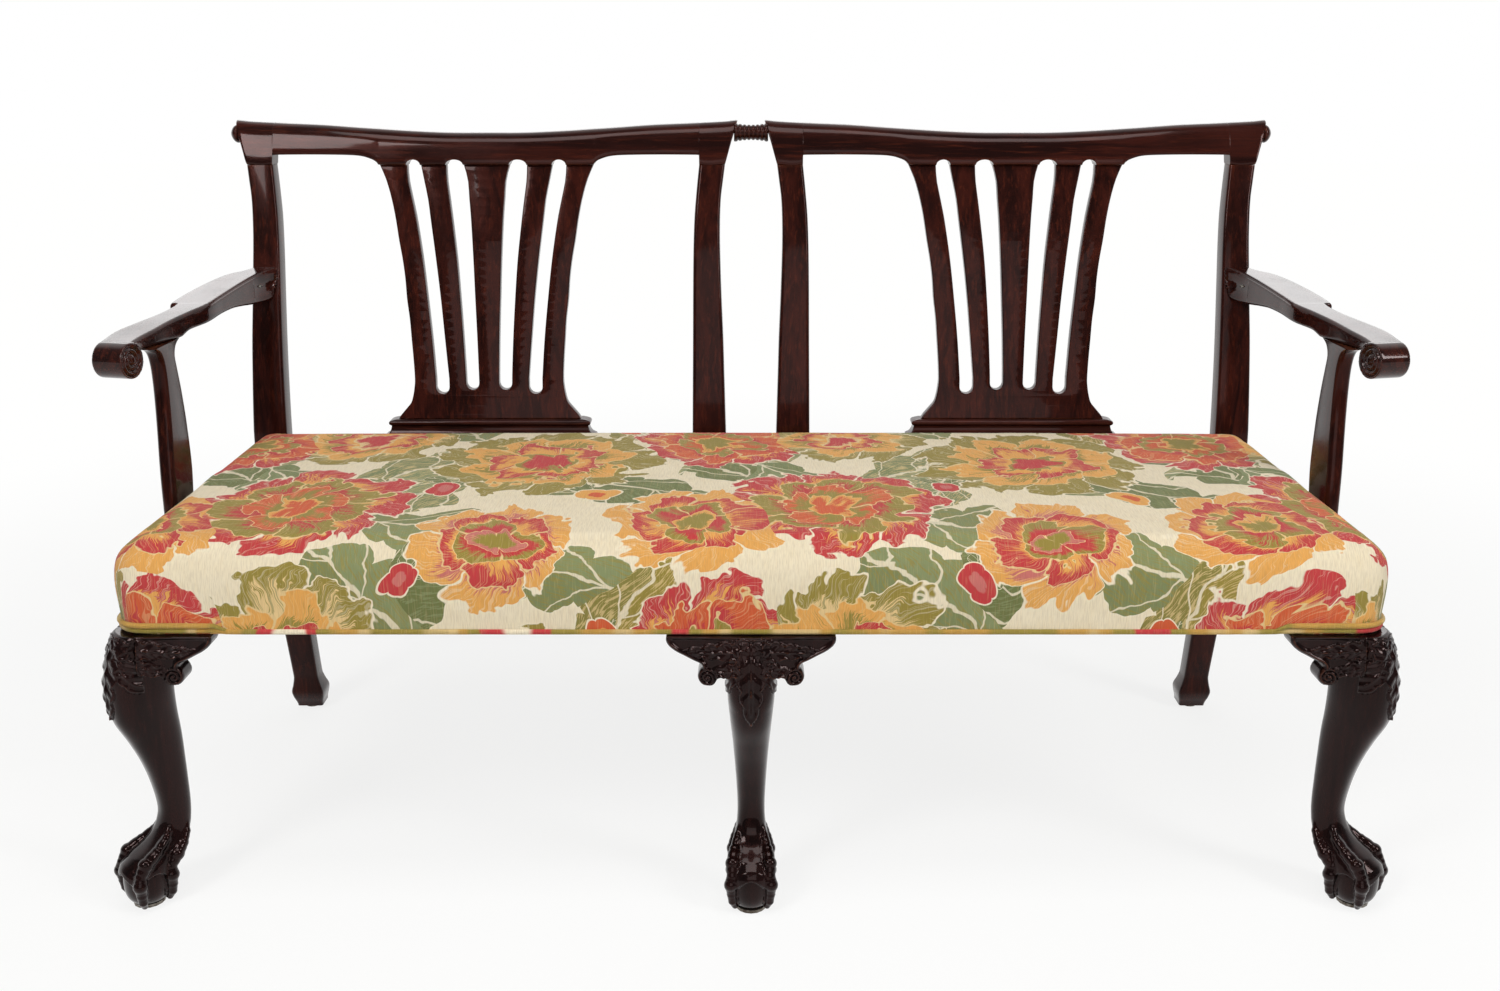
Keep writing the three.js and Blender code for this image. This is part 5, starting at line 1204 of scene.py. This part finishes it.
def frame_spaces():
    """The room that the rails and posts take under the cover, the webbing's room and all below the rails."""
    corner = [(718.6 + 29 * math.sin(a), 28.6 - 29 * math.cos(a)) for a in steps(0, math.pi / 2, 10)]
    yield outline_solid("frame_space", [(687.4, -0.4), (745.6, 57.8), (735.2, 502)], 350, 440.5)
    yield outline_solid("corner_space", [*corner, (735.5, 502)], 350, 424)
    yield outline_solid("web_space", [(670, 6), (728, 64), (728, 494)], 430, FRAME_CEILING)
    yield outline_solid("space_below", [(800, -60), (800, 560)], 300, COVER_LOW)


def carve_away(made, tool):
    cut = made.modifiers.new("cut", "BOOLEAN")
    cut.operation = "DIFFERENCE"
    cut.solver = "MANIFOLD"
    cut.object = tool
    settle(made)
    bpy.data.objects.remove(tool)
    return made


def cloth_place(x, y, z):
    """Where a point of the seat lies on the flat cloth, which goes over the top and down the sides."""
    front, rear = 22, 492
    core_x = side_outer(y) - 16
    over_x = max(0, abs(x) - core_x)
    over_front, over_rear = max(0, front - y), max(0, y - rear)
    drop = max(0, seat_top(min(abs(x), 735), min(max(y, 10), 490)) - z)
    total = over_x + over_front + over_rear
    share_x = over_x / total if total else 0
    share_y = 1 - share_x if total else 0
    u = min(abs(x), core_x) + over_x + drop * share_x
    v = min(max(y, front), rear)
    v += (over_rear + drop * share_y) if y > 250 else -(over_front + drop * share_y)
    return math.copysign(u, x) / 1000, v / 1000


def lay_cloth(made):
    """Writes the cloth map: each corner's place on the flat cloth, in metres."""
    layer = made.data.uv_layers.new(name=CLOTH_MAP)
    for loop in made.data.loops:
        layer.uv[loop.index].vector = cloth_place(*design_place(made.data.vertices[loop.vertex_index].co))


def tug(made):
    """Faint puckers where the cloth is tacked under the front rail and pulled round the corners."""
    for v, outward in zip(made.data.vertices, normals_of(made)):
        x, y, z = design_place(v.co)
        low = max(0, 1 - (z - COVER_LOW) / 60)
        corner = max(0, 1 - math.hypot(abs(x) - 720, y - 28) / 130)
        wave = noise.noise(Vector((x * 0.045, y * 0.045, z * 0.008)))
        v.co += outward * (wave * (0.5 * low + 1.0 * corner) + 0.35 * noise.noise(v.co * 14)) / 1000


def make_seat():
    made = blown_up(seat_skin(), 0.009, 0.0045)
    made.name = "seat_cushion"
    made.modifiers.new("finer", "SUBSURF").levels = 1
    settle(made)
    tug(made)
    lay_cloth(made)
    for space in frame_spaces():
        carve_away(made, space)
    shade(made, 60)
    dress(made, floral_material(), "floral_fabric", "seat_cover", "seat_stuffing")


# Front legs. LEG_FRONT and LEG_BACK are distances from the middle of the post, by height.

POST_X, POST_Y, POST_HALF = 723, 24, 24
LEG_FRONT = through([
    (34, 68.6), (44, 68.2), (52, 66), (60, 60.5), (68, 48), (76, 34.5), (84, 25.6), (95, 19.4), (116, 14),
    (150, 17.9), (182, 25.8), (214, 38), (246, 52), (275, 56), (298, 55), (321, 50.4), (341, 44), (357, 36),
])
LEG_BACK = through([
    (34, -10.6), (44, -11), (56, -8), (66, 0), (80, 14), (95, 21.3), (116, 24.1), (150, 24.4), (182, 24.1),
    (214, 23.5), (246, 21.3), (275, 20.7), (298, 22.4), (321, 23.5), (357, 24),
])
LEG_HALF = through([
    (34, 28.4), (44, 28.4), (56, 27), (66, 23.6), (80, 21), (95, 18), (116, 17), (150, 18.3), (182, 20.3),
    (214, 22.6), (246, 25.5), (275, 28.1), (298, 28.4), (357, 28.4),
])
KNEE_FLAT = 33
ANKLE = 66
FOOT_OUT = 39.6
BALL_HEIGHT, BALL_RADIUS = 30, 24.5
# The joints of a toe from the ankle over the ball: height, share of the section's reach there, and thickness
TOE = [
    (108, 0.8, 2.4), (96, 0.86, 4), (84, 0.97, 5.6), (73, 1.1, 7), (63, 1.12, 9), (50, 1, 7),
    (39, 1.04, 8.8), (27, 0.98, 6.4),
]
NAIL = [(26, 1, 6.6), (16, 0.96, 5.8), (7.8, 0.84, 4)]
TOE_TURNS = (56, 128, 232, 304)


def knee_swell(across, z):
    """How far the knee and its brackets stand out from the frame at a distance from the leg's middle."""
    return max(0, LEG_FRONT(z) - KNEE_FLAT) * bell(across, 40)


class Facing:
    """Turns distances out from the post, aside and up into points, for a leg that faces one way."""

    def __init__(self, x, y, turn, spread=1.0):
        self.x, self.y, self.spread = x, y, spread
        self.out = Vector((math.cos(turn), math.sin(turn)))
        self.aside = Vector((-self.out.y, self.out.x))

    def point(self, out, aside, z):
        flat = self.out * out + self.aside * aside
        return place(self.x + flat.x, self.y + flat.y, z)

    def section(self, z):
        """Middle, half length and half width of the leg at a height. Some feet spread more than others."""
        front, back = LEG_FRONT(z), LEG_BACK(z)
        wider = 1 + (self.spread - 1) * clamp((100 - z) / 40)
        return (front - back) / 2, (front + back) / 2 * wider, LEG_HALF(z) * wider

    def round_point(self, turn, z, share=1.0):
        """A point of the oval section at a height, at a share of its reach."""
        middle, reach, half = self.section(z)
        return self.point(middle + reach * share * math.cos(turn), half * share * math.sin(turn), z)

    def local(self, co):
        """The way back: out, aside and up in millimetres."""
        x, y, z = design_place(co)
        flat = Vector((x - self.x, y - self.y))
        return flat.dot(self.out), flat.dot(self.aside), z


def leg_ring(facing, z, squared):
    """One section of a leg. squared turns its front into the face that its brackets carry on."""
    middle, reach, half = facing.section(z)
    back = reach - middle
    ring = []
    for turn in circle(48):
        ways = math.cos(turn), math.sin(turn)
        c, s = (math.copysign(abs(way) ** 0.8, way) for way in ways)
        out, aside = middle + reach * c, half * s
        if squared:
            flat_c, flat_s = (math.copysign(abs(way) ** 0.2, way) for way in ways)
            flat = (KNEE_FLAT + knee_swell(half * flat_s, z)) * flat_c if flat_c > 0 else back * flat_c
            out += (flat - out) * squared
            aside += (half * flat_s - aside) * squared
        ring.append(facing.point(out, aside, z))
    return ring


def foot_ring(facing, share):
    """One level of the web round the ball. Its edge arches up between the toes."""
    ring = []
    for turn in circle(48):
        arch = 34 + 14 * abs(math.cos(2 * turn)) ** 1.2
        ring.append(facing.round_point(turn, arch + (ANKLE - arch) * share, 1 if share else 0.84))
    return ring


def egg(start, end, radius, stretch):
    """A round form stretched from one point to another."""
    bm = bmesh.new()
    bmesh.ops.create_icosphere(bm, subdivisions=3, radius=1)
    way = end - start
    turn = way.to_track_quat("Z", "Y").to_matrix().to_4x4()
    size = Matrix.Diagonal((radius / 1000, radius / 1000, way.length / 2 * stretch, 1))
    bm.transform(Matrix.Translation((start + end) / 2) @ turn @ size)
    return finish_mesh("egg", bm)


def ball_ring(facing, z):
    near = max(0.001, 1 - abs((z - BALL_HEIGHT) / BALL_HEIGHT) ** 2.6) ** (1 / 2.6)
    near *= BALL_RADIUS * facing.spread
    return [facing.point(FOOT_OUT + near * math.cos(a), near * math.sin(a), z) for a in circle(40)]


def foot_parts(facing):
    """The ball, the web that comes down over it and four jointed toes with their claws."""
    levels = [BALL_HEIGHT - 29.8 * math.cos(a) for a in steps(0.05, math.pi - 0.05, 30)]
    ball = loft("ball", [ball_ring(facing, z) for z in levels])
    parts = [ball, loft("web", [foot_ring(facing, share) for share in (0, 0.03, 0.3, 0.6, 1)])]
    for turn in TOE_TURNS:
        for chain in (TOE, NAIL):
            joints = [(facing.round_point(math.radians(turn), z, share), size * facing.spread**0.5)
                      for z, share, size in chain]
            for spot, size in joints:
                half = Vector((0, 0, size / 1000))
                parts.append(egg(spot - half, spot + half, size, 1))
            for (a, first), (b, second) in zip(joints, joints[1:]):
                parts.append(egg(a, b, (first + second) / 2 - 0.3, 1.5))
    return parts


def acanthus(across, along, lobes):
    """Relief of a carved leaf, 0 outside it: lobed edges, fanned ribs and a raised midrib."""
    if not 0 <= along <= 1:
        return 0
    width = (1 - along) ** 0.5 * (0.74 + 0.26 * abs(math.sin(math.pi * (along * lobes + 0.2))))
    edge = width - abs(across)
    if edge <= 0:
        return 0
    fan = abs(across) / max(width, 0.05)
    ribs = 0.5 + 0.5 * math.cos(2 * math.pi * (along * lobes - fan * 0.8))
    vein, curl = bell(across, 0.08), bell(edge - 0.1, 0.1)
    return min(1, edge / 0.08) * (0.42 + 0.34 * ribs + 0.34 * vein + 0.22 * curl)


def side_leaves(across, z):
    """Relief of the two leaves that run out to each side from the shell in the middle of a knee."""
    high = 4.6 * acanthus((z - 342 + 0.1 * (across - 8)) / 14, (across - 8) / 88, 5)
    low = 4.0 * acanthus((z - 323 + 0.34 * (across - 10)) / 12, (across - 10) / 54, 4)
    return max(high, low)


def knee_relief(aside, z, alone):
    """Relief of a leaf down the knee, two beside it, a shell above them and, on a knee that faces the front
    alone, leaves that reach its brackets."""
    relief = 5 * acanthus(aside / 26, (350 - z) / 98, 5)
    sx, sz = abs(aside) - 12, 340 - z
    relief = max(relief, 4.2 * acanthus((sx * 0.94 - sz * 0.35) / 12, (sx * 0.35 + sz * 0.94) / 62, 4))
    relief = max(relief, side_leaves(abs(aside), z) * (1 if alone else clamp((27 - abs(aside)) / 5)))
    shell = math.hypot(aside, (z - 350) * 1.1)
    if shell < 14:
        fan = abs(math.sin(4 * math.atan2(aside, 352 - z)))
        relief = max(relief, 2.6 + 2 * fan * min(1, (14 - shell) / 3))
    return max(relief, 2.4) if z > 351 else relief


def carve_knee(made, facing):
    """The leaves on the knee and slight tool marks below."""
    for v, outward in zip(made.data.vertices, normals_of(made)):
        out, aside, z = facing.local(v.co)
        if z > 354 or out < 4:
            continue
        relief = knee_relief(aside, z, facing.x == 0) if z > 250 and out > 24 else 0
        if relief:
            v.co += outward * (relief - 1.6) / 1000
        elif z > ANKLE:
            v.co += outward * 0.14 * noise.noise(v.co * 40) / 1000


def corner_post():
    """Plan of a corner post, round on its outer edge."""
    points = [(719 + 28 * math.sin(a), 28 - 28 * math.cos(a)) for a in steps(0, math.pi / 2, 8)]
    return points + [(747, 48), (699, 48), (699, 0)]


def make_leg(name, facing, post):
    """A whole front leg with its post. The middle leg's knee runs straight into its brackets."""
    squared = 1 if facing.x == 0 else 0
    levels = [*steps(ANKLE, 352, 86), 356.2]
    body = loft("leg_body", [leg_ring(facing, z, squared * clamp((z - 266) / 30)) for z in levels])
    head = loft("leg_head", [[place(x, y, z) for x, y in post] for z in (340, RAIL_TOP)])
    made = fuse(name, [body, head, *foot_parts(facing)], 0.0012, 4)
    carve_knee(made, facing)
    bm = bmesh.new()
    bmesh.ops.create_cube(bm, size=0.12)
    bm.transform(Matrix.Translation((*facing.point(FOOT_OUT, 0, 0).xy, GLIDE_TOP / 1000 - 0.06)))
    return carve_away(made, finish_mesh("floor_cut", bm))


# Knee brackets: across and up from the lower corner beside the leg, and the middle of the volute

BRACKET = [
    (71.7, 62), (71.7, 55.5), (68, 49), (60, 42.5), (50, 37), (40, 31.5), (32.5, 28), (29.8, 24),
    (33, 18.5), (35, 12), (33.6, 6), (29.6, 1.6), (24, 0), (18, 1.4), (14, 5), (11.6, 9.6), (7, 12.2),
    (-17, 13), (-17, 62),
]
BRACKET_START, BRACKET_LOW = 28.3, 294.7
VOLUTE_ACROSS, VOLUTE_UP = 23.4, 11.4


def curved_outline():
    """The bracket's edge with its curves rounded through the given points."""
    points = [Vector((BRACKET_START + x, BRACKET_LOW + z)) for x, z in BRACKET]
    last = len(points) - 3
    smooth = []
    for i in range(last):
        a, b, c, d = (points[max(0, min(last, i + k))] for k in (-1, 0, 1, 2))
        for t in steps(0, 1, 5)[:-1]:
            smooth.append(0.5 * (2 * b + (c - a) * t + (2 * a - 5 * b + 4 * c - d) * t * t
                                 + (3 * b - a - 3 * c + d) * t**3))
    return smooth + points[-3:]


def edge_distance(spot, outline):
    """How far a point lies from the curved lower edge."""
    least = 1000
    for a, b in zip(outline, outline[1:]):
        way = b - a
        share = clamp((spot - a).dot(way) / max(way.length_squared, 0.0001))
        least = min(least, (spot - a - way * share).length)
    return least


def carve_bracket(made, outline, carry):
    """The knee's swell and leaves carried on, a raised C-scroll edge and a volute at the drop."""
    lower = outline[:-2]
    for v, outward in zip(made.data.vertices, normals_of(made)):
        if outward.y > -0.35:
            continue
        across, _, z = design_place(v.co)
        from_edge = edge_distance(Vector((across, z)), lower)
        rim = 4.2 * bell(from_edge - 3.2, 2.6)
        relief = max(rim, side_leaves(across, z) * clamp((from_edge - 4.5) / 2))
        u, w = across - BRACKET_START - VOLUTE_ACROSS, z - BRACKET_LOW - VOLUTE_UP
        far = math.hypot(u, w)
        if far < 11.5:
            wound = (far / 4.6 - math.atan2(w, u) / (2 * math.pi)) % 1
            relief = 3.6 - 2.6 * bell(wound - 0.5, 0.16) + 1.4 * max(0, 1 - far / 3)
        top = clamp((z - BRACKET_LOW - 57) / 4)
        relief = relief * (1 - top) + 2.4 * top
        v.co.y -= (carry * knee_swell(across, z) + relief - 1.6) * -outward.y / 1000


def make_bracket(name, carry):
    """A bracket beside a leg in the middle, out along +X. carry is its share of the knee's swell."""
    outline = curved_outline()
    blank = sawn_board(name, outline, 27, 1.2, [], lambda u, deep, z: place(u, deep - 9, z))
    add_voxels(blank, 0.0011)
    settle(blank)
    carve_bracket(blank, outline, carry)
    return blank


def finish_bracket(made, leg):
    """Scribes a bracket to its leg and dresses it and its mirror image."""
    carve_away(made, new_object("scribe", leg.data.copy()))
    shade(made, 60)
    dress_pair(made, WOODS["carved"], "dark_mahogany")


def moved_copy(made, name, move):
    """A copy of a bracket, mirrored and placed by a matrix."""
    copy = new_object(name, made.data.copy())
    copy.data.transform(move)
    copy.data.flip_normals()
    return copy


def make_front_legs():
    square = rounded_box(-POST_HALF, POST_HALF, POST_Y - POST_HALF, POST_Y + POST_HALF, 3)
    centre = make_leg("fine_front_leg_centre", Facing(0, POST_Y, -math.pi / 2), square)
    dress(centre, WOODS["carved"], "dark_mahogany")
    corner = Facing(POST_X, POST_Y, -math.pi / 4, 1.13)
    right = make_leg("fine_front_leg_right", corner, corner_post())
    finish_bracket(make_bracket("fine_centre_knee_bracket_right", 1), centre)
    plain = make_bracket("plain", 0.6)
    across = Matrix.Translation((0.735, 0, 0)) @ Matrix.Scale(-1, 4, (1, 0, 0))
    front = moved_copy(plain, "fine_corner_front_bracket_right", across)
    pivot = place(POST_X, POST_Y, 0)
    swap = Matrix(((0, -1, 0, 0), (-1, 0, 0, 0), (0, 0, 1, 0), (0, 0, 0, 1)))
    beside = Matrix.Translation(pivot) @ swap @ Matrix.Translation(-pivot)
    side = moved_copy(front, "fine_corner_side_bracket_right", beside)
    bpy.data.objects.remove(plain)
    finish_bracket(front, right)
    finish_bracket(side, right)
    dress_pair(right, WOODS["carved"], "dark_mahogany")


# Piping, webbing and dust cloth

PIPING_RADIUS = 3.3
KNEE_PIPING = 132
STRAP_WIDTH, STRAP_THICK, STRAP_SPACING, STRAP_HEIGHT = 50, 1.6, 135, 441.4
STRAP_LIFT = 0.85
LINING_HEIGHT = 356


def cord_mesh(name, path):
    """A round cord through a line of points, with slightly uneven stuffing and rounded ends."""
    rings, lengths, total, sides = [], [], 0, 14
    for i, spot in enumerate(path):
        before, after = path[max(0, i - 1)], path[min(len(path) - 1, i + 1)]
        along = (after - before).normalized()
        across = along.cross(Vector((0, 0, 1))).normalized()
        rise = across.cross(along)
        total += (spot - path[i - 1]).length if i else 0
        lengths.append(total)
        end = min(i, len(path) - 1 - i)
        fat = PIPING_RADIUS * ((0.5, 0.86)[end] if end < 2 else 1 + 0.05 * noise.noise(spot * 90))
        rings.append([spot + (across * math.cos(a) + rise * math.sin(a)) * fat / 1000 for a in circle(sides)])
    made = loft(name, rings, 80)
    layer = made.data.uv_layers.new(name=CLOTH_MAP)
    for loop in made.data.loops:
        ring, k = divmod(loop.vertex_index, sides)
        layer.uv[loop.index].vector = (lengths[min(ring, len(path) - 1)], k * 0.0015)
    return made


def welt_line(inset, base, rise, power, side_end, front_end):
    """Points round the right half of the seat's lower edge, from side_end behind the front to front_end
    beside the middle. They rise over the knees and their brackets."""
    points = []
    for x, y, nx, ny, _ in round_seat():
        if ny <= 0.01 and x >= front_end and y <= (side_end if nx > 0.5 else 499):
            px, py = x - nx * inset, y - ny * inset
            points.append(place(px, py, base + rise * over_knee(px, py) ** power))
    return points


def over_knee(x, y):
    """1 where the piping passes over a knee and its brackets, 0 beside them."""
    reach = max(abs(abs(x) - SEAT_FRONT_HALF) if y < 30 else 0, y if abs(x) > 700 else 0)
    return clamp((KNEE_PIPING - reach) / 16)


def make_piping():
    material = piping_material()
    right = welt_line(2.9, 360.4, 1.4, 1, 499, -1)
    left = [Vector((-p.x, p.y, p.z)) for p in right[:-1]]
    dress(cord_mesh("fine_seat_welt", right + left[::-1]), material, "floral_piping", "seat_welt")
    knee = welt_line(1.2, 360.8, 7.6, 0.7, KNEE_PIPING, 616)
    dress_pair(cord_mesh("fine_knee_welt_right", knee), material, "floral_piping")


def strap(start, end, crossings, lift):
    """A flat strap that passes over and under others. crossings are their places along it, as shares."""
    way = end - start
    aside = Vector((-way.y, way.x, 0)).normalized() * STRAP_WIDTH / 2000
    up = Vector((0, 0, STRAP_THICK / 2000))
    width_share = 0.034 / way.length
    rings = []
    for share in steps(0, 1, 160):
        rise = sum(lift * (-1) ** i * bell(share - at, width_share) for i, at in enumerate(crossings))
        spot = start.lerp(end, share) + Vector((0, 0, rise / 1000))
        rings.append([spot - aside - up, spot + aside - up, spot + aside + up, spot - aside + up])
    return loft("strap", rings, 30)


def make_webbing():
    """Eleven short straps laced with three long ones, tacked across the rails."""
    columns = [STRAP_SPACING * i for i in range(-5, 6)]
    rows = [250 + STRAP_SPACING * i for i in (-1, 0, 1)]
    front, rear, side = 10, 490, 725
    parts = []
    for i, x in enumerate(columns):
        start, end = place(x, front, STRAP_HEIGHT), place(x, rear, STRAP_HEIGHT)
        parts.append(strap(start, end, [(y - front) / (rear - front) for y in rows], STRAP_LIFT * (-1) ** i))
    for i, y in enumerate(rows):
        start, end = place(-side, y, STRAP_HEIGHT), place(side, y, STRAP_HEIGHT)
        parts.append(strap(start, end, [(x + side) / (2 * side) for x in columns], -STRAP_LIFT * (-1) ** i))
    made = finish_mesh("fine_seat_webbing", gathered(parts), 30)
    dress(made, jute_material(), "jute_webbing", "seat_webbing")


def lining_height(x, y):
    """The lining hangs a little between its tacks, more in the middle and at one loose spot in front."""
    inside = max(0, 1 - (x / 705) ** 2) * max(0, 1 - ((y - 260) / 240) ** 2)
    folds = noise.noise(Vector((x * 0.011, y * 0.02, 3.0)))
    loose = bell(x + 462, 26) * bell(y - 20, 24)
    return LINING_HEIGHT - 6 * inside - 1.4 * abs(folds) * min(1, inside * 3) - 5.5 * loose


def make_dust_cloth():
    """The stretched lining, notched at its front corners and middle for the three front legs."""
    front, notch, edge, centre, back = 18.4, 77.4, 705, 53, 499.6
    xs = sorted({*steps(-edge, edge, 140), -(edge - notch), edge - notch, -centre, centre})
    ys = sorted({*steps(front, back, 48), notch})
    bm = bmesh.new()
    grid = {(x, y): bm.verts.new(place(x, y, lining_height(x, y))) for x in xs for y in ys}
    flat = 0
    for x0, x1 in zip(xs, xs[1:]):
        for y0, y1 in zip(ys, ys[1:]):
            middle = abs(x0 + x1) / 2
            if (y0 + y1) / 2 < notch and (middle > edge - notch or middle < centre):
                continue
            bm.faces.new([grid[spot] for spot in ((x0, y0), (x1, y0), (x1, y1), (x0, y1))])
            flat += (x1 - x0) * (y1 - y0) / 1e6
    bmesh.ops.delete(bm, geom=[v for v in bm.verts if not v.link_faces], context="VERTS")
    made = finish_mesh("fine_dust_cloth", bm, 60)
    solid = made.modifiers.new("thick", "SOLIDIFY")
    solid.thickness = 0.0007
    solid.offset = 0
    settle(made)
    dress(made, lining_material(), "black_lining", "dust_cloth")


# Frame parts that keep their own shape


def finish_frame_parts():
    """Finds each kept node by the first of these words in its name."""
    beech = beech_material()
    finishes = [
        ("screw", metal_material("screw_steel", srgb(150, 146, 138), srgb(92, 84, 74), 0.34)),
        ("glide", metal_material("glide_nickel", srgb(128, 122, 114), srgb(84, 74, 64), 0.4)),
        ("rear_rail", WOODS["plain"]),
        *((word, beech) for word in ("cross_rail", "front_rail", "side_rail", "block")),
    ]
    for name, node in NODES.items():
        material = next((made for word, made in finishes if word in name), None)
        if material:
            paint(node, material)


def paint(node, material):
    """Gives a kept frame part its material and a slight softening of its sawn edges."""
    for slot in node.material_slots:
        slot.material = material
    ease = node.modifiers.new("eased", "BEVEL")
    ease.width = 0.0008
    ease.segments = 2
    ease.limit_method = "ANGLE"
    ease.angle_limit = math.radians(50)


bpy.context.scene.view_settings.view_transform = "Standard"
make_camera()
light_stage()
light_world()
make_floor()
finish_frame_parts()
make_inner_stiles()
make_rear_posts()
make_crests()
make_splats()
make_shoes()
make_spool()
make_bosses()
make_arms()
make_supports()
make_front_legs()
make_seat()
make_piping()
make_webbing()
make_dust_cloth()
